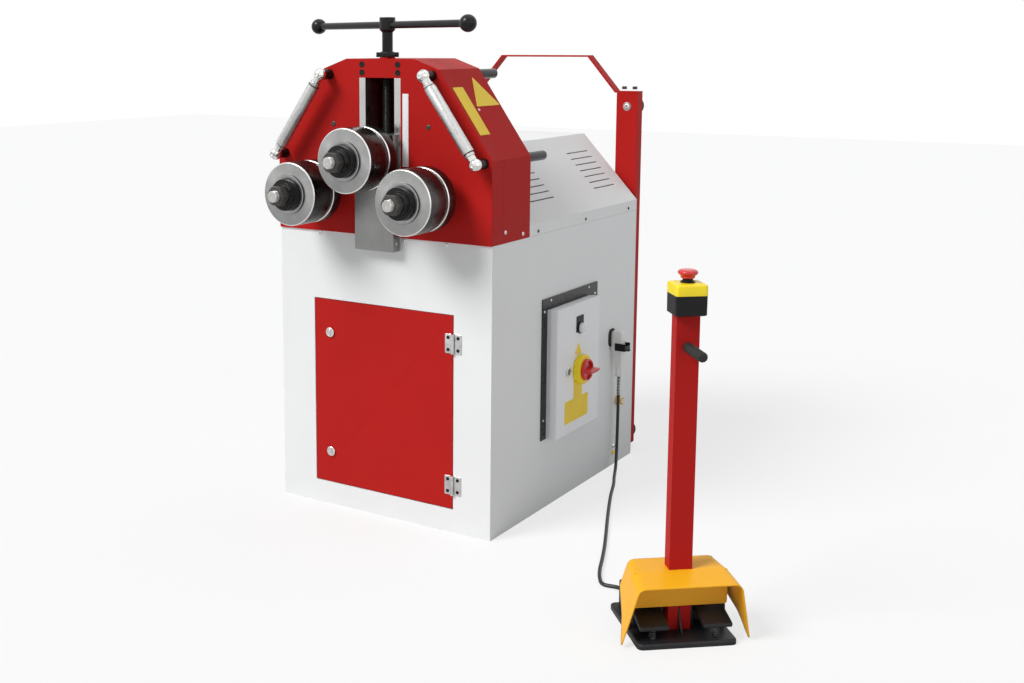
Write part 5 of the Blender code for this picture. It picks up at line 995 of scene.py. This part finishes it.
# %% Lamp and lock
backing = plate(rectangle(-0.033, 0.009, 0.4600, 0.5040, 0.002), 0.0, 0.0016, (PANEL_X, 0, 0), FACING_RIGHT)
collar = turned_soft([(0.0, 0.0), (0.0, 0.0162), (0.004, 0.0162), (0.004, 0.0)], 0.0008,
                     (PANEL_X, -0.010, 0.471), (1, 0, 0), steps=48)
piece("lamp_backing", [backing, collar], [black_plastic], "panel_door")
lens_dome = ball_rows(0.0075, 0.0136, np.pi / 2.2, 0) * (0.62, 1) + (0.0029, 0)
lens_rows = np.vstack([[(0.004, 0.0), (0.004, 0.0138), (0.009, 0.0136)], lens_dome])
piece("lamp_lens", [turned(lens_rows, (PANEL_X, -0.010, 0.471), (1, 0, 0), 48)], [lens_plastic],
      "panel_door")
lock_spot = (PANEL_X, -0.080, 0.3634)
lock_ring = turned_soft([(-0.008, 0.0), (-0.008, 0.0118), (0.0062, 0.0118), (0.0062, 0.0082),
                         (0.0035, 0.0080), (0.0035, 0.0)], 0.0006, lock_spot, (1, 0, 0), steps=40)
lock_bar = plate(rectangle(-0.0022, 0.0022, -0.0078, 0.0078, 0.001), 0.002, 0.0056, lock_spot, FACING_RIGHT)
lock_cam = plate(rectangle(-0.005, 0.005, -0.005, 0.024, 0.002), -0.010, -0.008, lock_spot, FACING_RIGHT)
piece("panel_lock_ring", [lock_ring, lock_cam], [zinc], "panel_lock", ["panel_lock"])
piece("panel_lock_bar", [lock_bar], [black_plastic], "panel_lock")

# %% [markdown]
# ## The pedal connector
# A white wall socket over a black gasket holds the plug with a black lever. Below the plug a grey
# gland nut grips a steel spring, which keeps the cord from kinking. The brass gland beside it is
# the supply cable's.

# %% Connector
PLUG_SPOT = (0.348, 0.272, 0.0)
socket = squircles([(0.349, 0, 0, 6), (0.349, 0.0165, 0.0138, 6), (0.351, 0.0172, 0.0140, 6),
                    (0.392, 0.0185, 0.0140, 6), (0.402, 0.0180, 0.0136, 5), (0.4065, 0.0140, 0.0110, 4),
                    (0.407, 0, 0, 4)], (0.3434, 0.272, 0), FACING_UP, 72)
piece("wall_socket", [socket], [white_plastic], "base", ["pedal_socket"])
gasket = squircles([(0.3243, 0, 0, 3), (0.3243, 0.0215, 0.0260, 3), (0.3262, 0.0215, 0.0260, 3),
                    (0.3262, 0, 0, 3)], (0, 0.268, 0.386), FACING_RIGHT, 72)
piece("socket_gasket", [gasket], [rubber], "base")
plug = squircles([(0.301, 0, 0, 6), (0.301, 0.0108, 0.0108, 5), (0.303, 0.0123, 0.0123, 6),
                  (0.3465, 0.0125, 0.0125, 7), (0.3487, 0.0118, 0.0118, 7), (0.3487, 0, 0, 7)],
                 PLUG_SPOT, FACING_UP, 72)
piece("plug_shell", [plug], [white_plastic], "base", ["pedal_plug"])
gland_nut = hex_nut((0.348, 0.272, 0.2752), (0, 0, 1), 0.0112, 0.0262, 0.0047)
piece("plug_gland_nut", [gland_nut], [white_plastic], "base")
spring = coil((0.348, 0.272, 0.2212), (0, 0, 1), 0.0056, 0.0016, 12, 0.0529)
piece("kink_spring_wire", [spring], [zinc], "base", ["kink_spring"])
brass_gland = [hex_nut((0.3243, 0.315, 0.190), (1, 0, 0), 0.0160, 0.0075, 0.0100),
               turned_soft([(0.0075, 0), (0.0075, 0.0120), (0.0187, 0.0116), (0.0187, 0.0070),
                            (0.0150, 0.0065), (0.0150, 0)], 0.001, (0.3243, 0.315, 0.190), (1, 0, 0),
                           steps=48)]
piece("supply_gland_brass", brass_gland, [brass], "base")
stud = dome_screw((0.324, 0.2925, 0.0572), (1, 0, 0), 0.0060, 0.0060)
piece("earth_stud", [stud], [zinc], "base")
caps = [dome_screw((0.324, 0.2935, 0.0369), (1, 0, 0), 0.0062, 0.0050, 0.2)]
piece("yellow_caps", caps, [yellow_plastic], "base")

# %% [markdown]
# ## Emergency stop
# A black box with a yellow lid on top of the post carries the red mushroom button. The lid has a
# well that the button's stem drops into, so its surface runs from the well's floor up its wall,
# over the lid and down its rounded sides.

# %% Stop box and button
STOP_SPOT = in_column(0.0, -0.038, 0.0)
lower = squircles([(0.682, 0, 0, 10), (0.682, 0.0310, 0.0295, 10), (0.6835, 0.0330, 0.0315, 12),
                   (0.7230, 0.0332, 0.0317, 12), (0.7230, 0, 0, 12)], STOP_SPOT, IN_COLUMN, 160)
piece("stop_box_body", [lower], [black_plastic], "base", ["stop_box"])
lid = squircles([(0.7285, 0, 0, 2), (0.7285, 0.0108, 0.0108, 2), (0.7463, 0.0108, 0.0108, 2),
                 (0.7464, 0.0270, 0.0255, 9), (0.7458, 0.0300, 0.0285, 10), (0.7440, 0.0325, 0.0310, 11),
                 (0.7415, 0.0335, 0.0320, 12), (0.7232, 0.0335, 0.0320, 12), (0.7232, 0, 0, 12)],
                STOP_SPOT, IN_COLUMN, 160)
piece("stop_box_lid", [lid], [yellow_plastic], "base")
stop_collar = turned_soft([(0.7462, 0.0108), (0.7462, 0.0150), (0.7494, 0.0150), (0.7494, 0.0108),
                           (0.7462, 0.0108)], 0.0006, STOP_SPOT, (0, 0, 1), steps=64)
piece("stop_collar", [stop_collar], [black_plastic], "base")
mushroom = turned_soft([(0.7550, 0.0066), (0.7550, 0.0142), (0.7600, 0.0146), (0.7640, 0.0196),
                        (0.7668, 0.0205), (0.7700, 0.0196), (0.7728, 0.0150), (0.7736, 0.0)], 0.0024,
                       STOP_SPOT, (0, 0, 1), rounding=6, steps=96)
under = turned([(0.7692, 0.0), (0.7692, 0.0066), (0.7550, 0.0066)], STOP_SPOT, (0, 0, 1), 96)
piece("mushroom_button", [mushroom, under], [red_plastic], "stop_head", ["stop_head"])

# %% Grip and feet
GRIP_SPOT = in_column(0.0, -0.050, 0.615)
grip_rows = np.linspace(0.004, 0.086, 120)
ribs = np.column_stack([grip_rows, 0.0102 + 0.0003 * np.cos(2 * np.pi * grip_rows / 0.0062)])
grip_profile = np.vstack([[(0.0003, 0.0), (0.0003, 0.0105)], ribs,
                          [(0.0885, 0.0095), (0.0897, 0.0070), (0.090, 0.0)]])
sleeve = turned(grip_profile, GRIP_SPOT, -COLUMN_V, 48)
piece("grip_sleeve", [sleeve], [rubber], "base", ["grip_peg"])
for side, name in ((-1, "left"), (1, "right")):
    for z, level in ((0.048, "lower"), (1.039, "upper")):
        spot = (side * 0.2755, 0.4803, z)
        foot = turned_soft([(0.0, 0.0), (0.0, 0.024), (0.004, 0.026), (0.031, 0.026), (0.035, 0.022),
                            (0.035, 0.008), (0.026, 0.007), (0.026, 0.0)], 0.0015, spot, (0, 1, 0), steps=56)
        piece(f"{name}_{level}_buffer", [foot], [rubber], "base", [f"{name}_{level}_foot"])

# %% [markdown]
# ## The guard over the pedals
# The guard is one bent sheet: a lip, a fold, a flat back, and two wings that come down to rounded
# tips. It is a ruled surface. Along the sheet s runs from the lip to the back, and across it the
# line goes over the middle, round the shoulder and down the wing. Solidify gives the sheet its
# wall. Two flat walls stand under it, one in front of the post and one behind it.

# %% Guard
KNOTS_S = [0.0, 0.51, 1.0]


def over(s, values):
    """Straight between the values at the lip, the fold and the back."""
    return np.interp(s, KNOTS_S, values)


s = np.unique(np.concatenate([np.linspace(0, 0.14, 9), np.linspace(0.14, 1, 28)]))
half = over(s, [0.112, 0.106, 0.097])
top_z = over(s, [0.133, 0.1436, 0.146])
top_v = over(s, [-0.1155, -0.050, 0.012])
low_half = over(s, [0.138, 0.125, 0.110])
low_v = over(s, [-0.094, -0.055, 0.012])
low_z = np.interp(s, [0.0, 0.2, 0.35, 0.51, 0.75, 1.0], [0.002, 0.022, 0.038, 0.052, 0.070, 0.090])
cut_tip = 1 - 0.05 * (1 - np.sqrt(1 - (1 - np.minimum(s / 0.14, 1)) ** 2))
lean = np.arctan2(low_half - half, top_z - low_z)
q = np.linspace(0, 1, 9)
GUARD_ROUND = 0.018
turn = np.pi / 2 - (np.pi / 2 - lean)[:, None] * q[None, :]
round_u = (half - GUARD_ROUND)[:, None] + GUARD_ROUND * np.cos(turn)
round_z = (top_z - GUARD_ROUND)[:, None] + GUARD_ROUND * np.sin(turn)
w = np.linspace(0, 1, 13)[1:] * cut_tip[:, None]
wing_u = round_u[:, -1:] * (1 - w) + low_half[:, None] * w
wing_z = round_z[:, -1:] * (1 - w) + low_z[:, None] * w
wing_v = top_v[:, None] * (1 - w) + low_v[:, None] * w
across_top = np.linspace(0, 1, 6)[None, :-1]
u = np.hstack([across_top * (half - GUARD_ROUND)[:, None], round_u, wing_u])
z = np.hstack([np.repeat(top_z[:, None], 5, 1), round_z, wing_z])
v = np.hstack([np.repeat(top_v[:, None], 14, 1), wing_v])
u = np.hstack([-u[:, :0:-1], u])
z = np.hstack([z[:, :0:-1], z])
v = np.hstack([v[:, :0:-1], v])
sheet = skin(in_column(u[..., None], v[..., None], 0.0) + z[..., None] * np.array([0, 0, 1.0]), wrap=False)
guard = piece("guard_sheet", [sheet], [guard_paint], "base", ["pedal_guard"], angle=40)
middle_face = guard.data.polygons[len(guard.data.polygons) // 2]
wall = guard.modifiers.new("wall", "SOLIDIFY")
wall.thickness = 0.0025
wall.offset = -1 if middle_face.normal.z > 0 else 1
wall.use_even_offset = True
COLUMN_UPRIGHT = (COLUMN_U, (0, 0, 1), COLUMN_V)
back_outline = rectangle(-0.091, 0.091, 0.0705, 0.1445, 0.004)
back_wall = plate(back_outline, 0.0095, 0.0117, COLUMN_SPOT, COLUMN_UPRIGHT)
inner_outline = rectangle(-0.101, 0.101, 0.0660, 0.1425, 0.006)
inner_wall = plate(inner_outline, -0.0536, -0.0512, COLUMN_SPOT, COLUMN_UPRIGHT)
piece("guard_back_wall", [back_wall], [guard_paint], "base")
piece("guard_inner_wall", [inner_wall], [guard_paint], "base")

# %% [markdown]
# ## Pedal base and pedals
# The base is a cast plate with a switch housing behind and a curved rib between the pedals. Each
# pedal is a tilted plate with a pad on it, hung on a pin and held up by a spring.

# %% Pedal base
COLUMN_ACROSS = (COLUMN_V, (0, 0, 1), COLUMN_U)
foot_outline = rectangle(-0.1055, 0.1055, -0.1105, 0.100, 0.014, 6)
housing_outline = rectangle(-0.088, 0.088, -0.008, 0.092, 0.006)
shapes = [
    plate(foot_outline, 0.0, 0.012, COLUMN_SPOT, IN_COLUMN, 0.004, 0.001),
    plate(housing_outline, 0.006, 0.068, COLUMN_SPOT, IN_COLUMN, 0.004),
]
sweep = np.linspace(0, np.pi / 2, 14)
rib = np.column_stack([-0.0985 + 0.0482 * np.sin(sweep), 0.006 + 0.056 * (1 - np.cos(sweep))])
rib = np.vstack([rib, [(-0.0503, 0.006)]])
shapes.append(plate(rib, -0.002, 0.002, COLUMN_SPOT, COLUMN_ACROSS, 0.0006, 0.0006))
for side in (-1, 1):
    for inner in (0.029, 0.099):
        low_u, high_u = sorted((side * inner, side * (inner + 0.006)))
        ear = [(-0.036, 0.006), (-0.016, 0.006), (-0.017, 0.059), (-0.035, 0.059)]
        ear = soften(ear, 0.008, 4, closed=True)
        shapes.append(plate(ear, low_u, high_u, COLUMN_SPOT, COLUMN_ACROSS, 0.001, 0.001))
    pin_low, pin_high = sorted((side * 0.029, side * 0.105))
    shapes.append(turned([(pin_low, 0), (pin_low, 0.004), (pin_high, 0.004), (pin_high, 0)],
                         in_column(0, -0.026, 0.050), COLUMN_U, 24))
    shapes.append(turned_soft([(0.006, 0), (0.006, 0.006), (0.016, 0.006), (0.016, 0)], 0.001,
                              in_column(side * 0.067, -0.082, 0), (0, 0, 1), steps=24))
shapes.append(turned_soft([(-0.010, 0), (-0.010, 0.009), (0.016, 0.009), (0.016, 0.0046), (0.0, 0.0046),
                           (0.0, 0)], 0.0012, in_column(-0.060, 0.100, 0.014), COLUMN_V, steps=36))
piece("pedal_base_casting", shapes, [cast_black], "base", ["pedal_base"])

# %% Pedals
FALL = np.arctan2(0.020, 0.080)
PEDAL_LENGTH = 0.080 / np.cos(FALL)
TILT = (COLUMN_U, COLUMN_V * np.cos(FALL) + np.array([0, 0, np.sin(FALL)]),
        -COLUMN_V * np.sin(FALL) + np.array([0, 0, np.cos(FALL)]))
for side, name in ((-1, "left"), (1, "right")):
    a, b = sorted((side * 0.036, side * 0.098))
    spot = in_column(0, -0.020, 0.063)
    arm = plate(rectangle(a, b, -PEDAL_LENGTH, 0.0, 0.004), -0.009, -0.0022, spot, TILT, 0.0015, 0.001)
    pad = plate(rectangle(a + 0.0010, b - 0.0010, -PEDAL_LENGTH + 0.0010, -0.006, 0.003), -0.0022, 0.0, spot,
                TILT, 0.0006)
    eye = turned_soft([(a + 0.0005, 0.0043), (a + 0.0005, 0.009), (b - 0.0005, 0.009), (b - 0.0005, 0.0043),
                       (a + 0.0005, 0.0043)], 0.0006, in_column(0, -0.026, 0.050), COLUMN_U, steps=36)
    piece(name + "_pedal_plate", [arm, pad, eye], [cast_black], name + "_pedal",
          [name + "_pedal"])
    spring = coil(in_column(side * 0.067, -0.082, 0.013), (0, 0, 1), 0.0066, 0.0016, 5, 0.0205)
    piece(name + "_pedal_spring", [spring], [dark_steel], "base")

# %% [markdown]
# ## Screws and small plates
# The fasteners tell how the machine is put together: button heads hold the head to the cabinet
# and the hood to its sides, four socket screws clamp the spindle's bearing, and bolts hold the
# strap and the rubber buffers on the posts.

# %% Bright screws
OUT_FRONT = (0, -1, 0)
OUT_RIGHT = (1, 0, 0)
OUT_UP = (0, 0, 1)
bright = [dome_screw((x, FRONT_Y, 0.7325), OUT_FRONT, 0.0048, 0.0024)
          for x in (-0.194, -0.069, 0.069, 0.194)]
bright += [dome_screw((side * 0.324, y, z), (side, 0, 0), 0.0052, 0.0030)
           for side in (-1, 1) for y, z in ((-0.362, 0.767), (-0.273, 0.753))]
bright += [dome_screw((0.3273, y + FRONT_Y, z), OUT_RIGHT, 0.0034, 0.0018)
           for y, z in ((0.304, 0.559), (0.529, 0.559), (0.268, 0.534), (0.567, 0.536), (0.268, 0.243),
                        (0.567, 0.243), (0.304, 0.1975), (0.529, 0.1975))]
bright += [dome_screw((0.0585, -0.442, 0.727), OUT_RIGHT, 0.0040, 0.0020)]
bright += [dome_screw((side * 0.2755, 0.4458, z), OUT_FRONT, 0.0082, 0.0055)
           for side in (-1, 1) for z in (0.048, 1.039)]
bright += [turned_soft([(0.0, 0.0), (0.0, 0.0125), (0.0014, 0.0125), (0.0014, 0.0)], 0.0004,
                       (side * 0.2755, 0.447, z), OUT_FRONT, steps=40)
           for side in (-1, 1) for z in (0.048, 1.039)]
SLOPE_OUT = np.array([0.8183, 0.0, 0.5747])
SLOPE_DOWN = np.array([0.5747, 0.0, -0.8183])
SLOPE_TOP = np.array([0.173, FRONT_Y, 1.160])
bright += [dome_screw(SLOPE_TOP + 0.120 * SLOPE_DOWN + (0, 0.071, 0), SLOPE_OUT, 0.0036, 0.0020)]
piece("bright_screws", bright, [zinc], "base")

# %% Dark screws
dark = [dome_screw((side * 0.324, y + FRONT_Y, 0.750), (side, 0, 0), 0.0042, 0.0022)
        for side in (-1, 1) for y in (0.233, 0.507, 0.787)]
dark += [dome_screw((side * 0.144, -0.428, 1.020), OUT_FRONT, 0.0065, 0.0020, 0.5) for side in (-1, 1)]
dark += [hex_nut((side * 0.2755 + x, 0.4635, 1.0883), OUT_UP, 0.0072, 0.0085, 0.0) for side in (-1, 1)
         for x in (-0.0165, 0.0165)]
piece("dark_screws", dark, [nut_oxide], "base")
# Each is a thin black disc wider than the screw's head: its outer ring is painted shade that stands for the
# counterbored hole round the socket head.
clamp_heads_with_hole_shade = [turned_soft([(0.0, 0.0), (0.0, 0.0078), (0.0007, 0.0078), (0.0007, 0.0058), (0.0004, 0.0056),
                       (0.0004, 0.0034), (0.0002, 0.0032), (0.0002, 0.0)], 0.0001, (x, -0.428, z),
                      OUT_FRONT, steps=36) for x in (-0.054, 0.054) for z in (1.1505, 1.1705)]
piece("bearing_clamp_screws_with_hole_shade", clamp_heads_with_hole_shade, [black_oxide], "base")

# %% Yellow plates on the head's slope
slope = ((0, 1, 0), -SLOPE_DOWN, SLOPE_OUT)
strip = plate(rectangle(0.010, 0.0565, -0.190, -0.053, 0.002), 0.0, 0.0007, SLOPE_TOP, slope, 0.0003)
peak = soften([(0.071, -0.1105), (0.1825, -0.1105), (0.1275, -0.0255)], 0.004, 3, closed=True)
mark = plate(peak, 0.0, 0.0007, SLOPE_TOP, slope, 0.0003)
piece("head_yellow_plates", [strip, mark], [label_yellow], "base")

# %% [markdown]
# The cord gets its rubber. Then every CAD node that is still shown and has no finish of its own is printed.

# %% Finish
line.materials.append(cord_rubber)
for name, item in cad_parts.items():
    if not item.hide_render and name not in DRESS:
        print("still bare:", name)
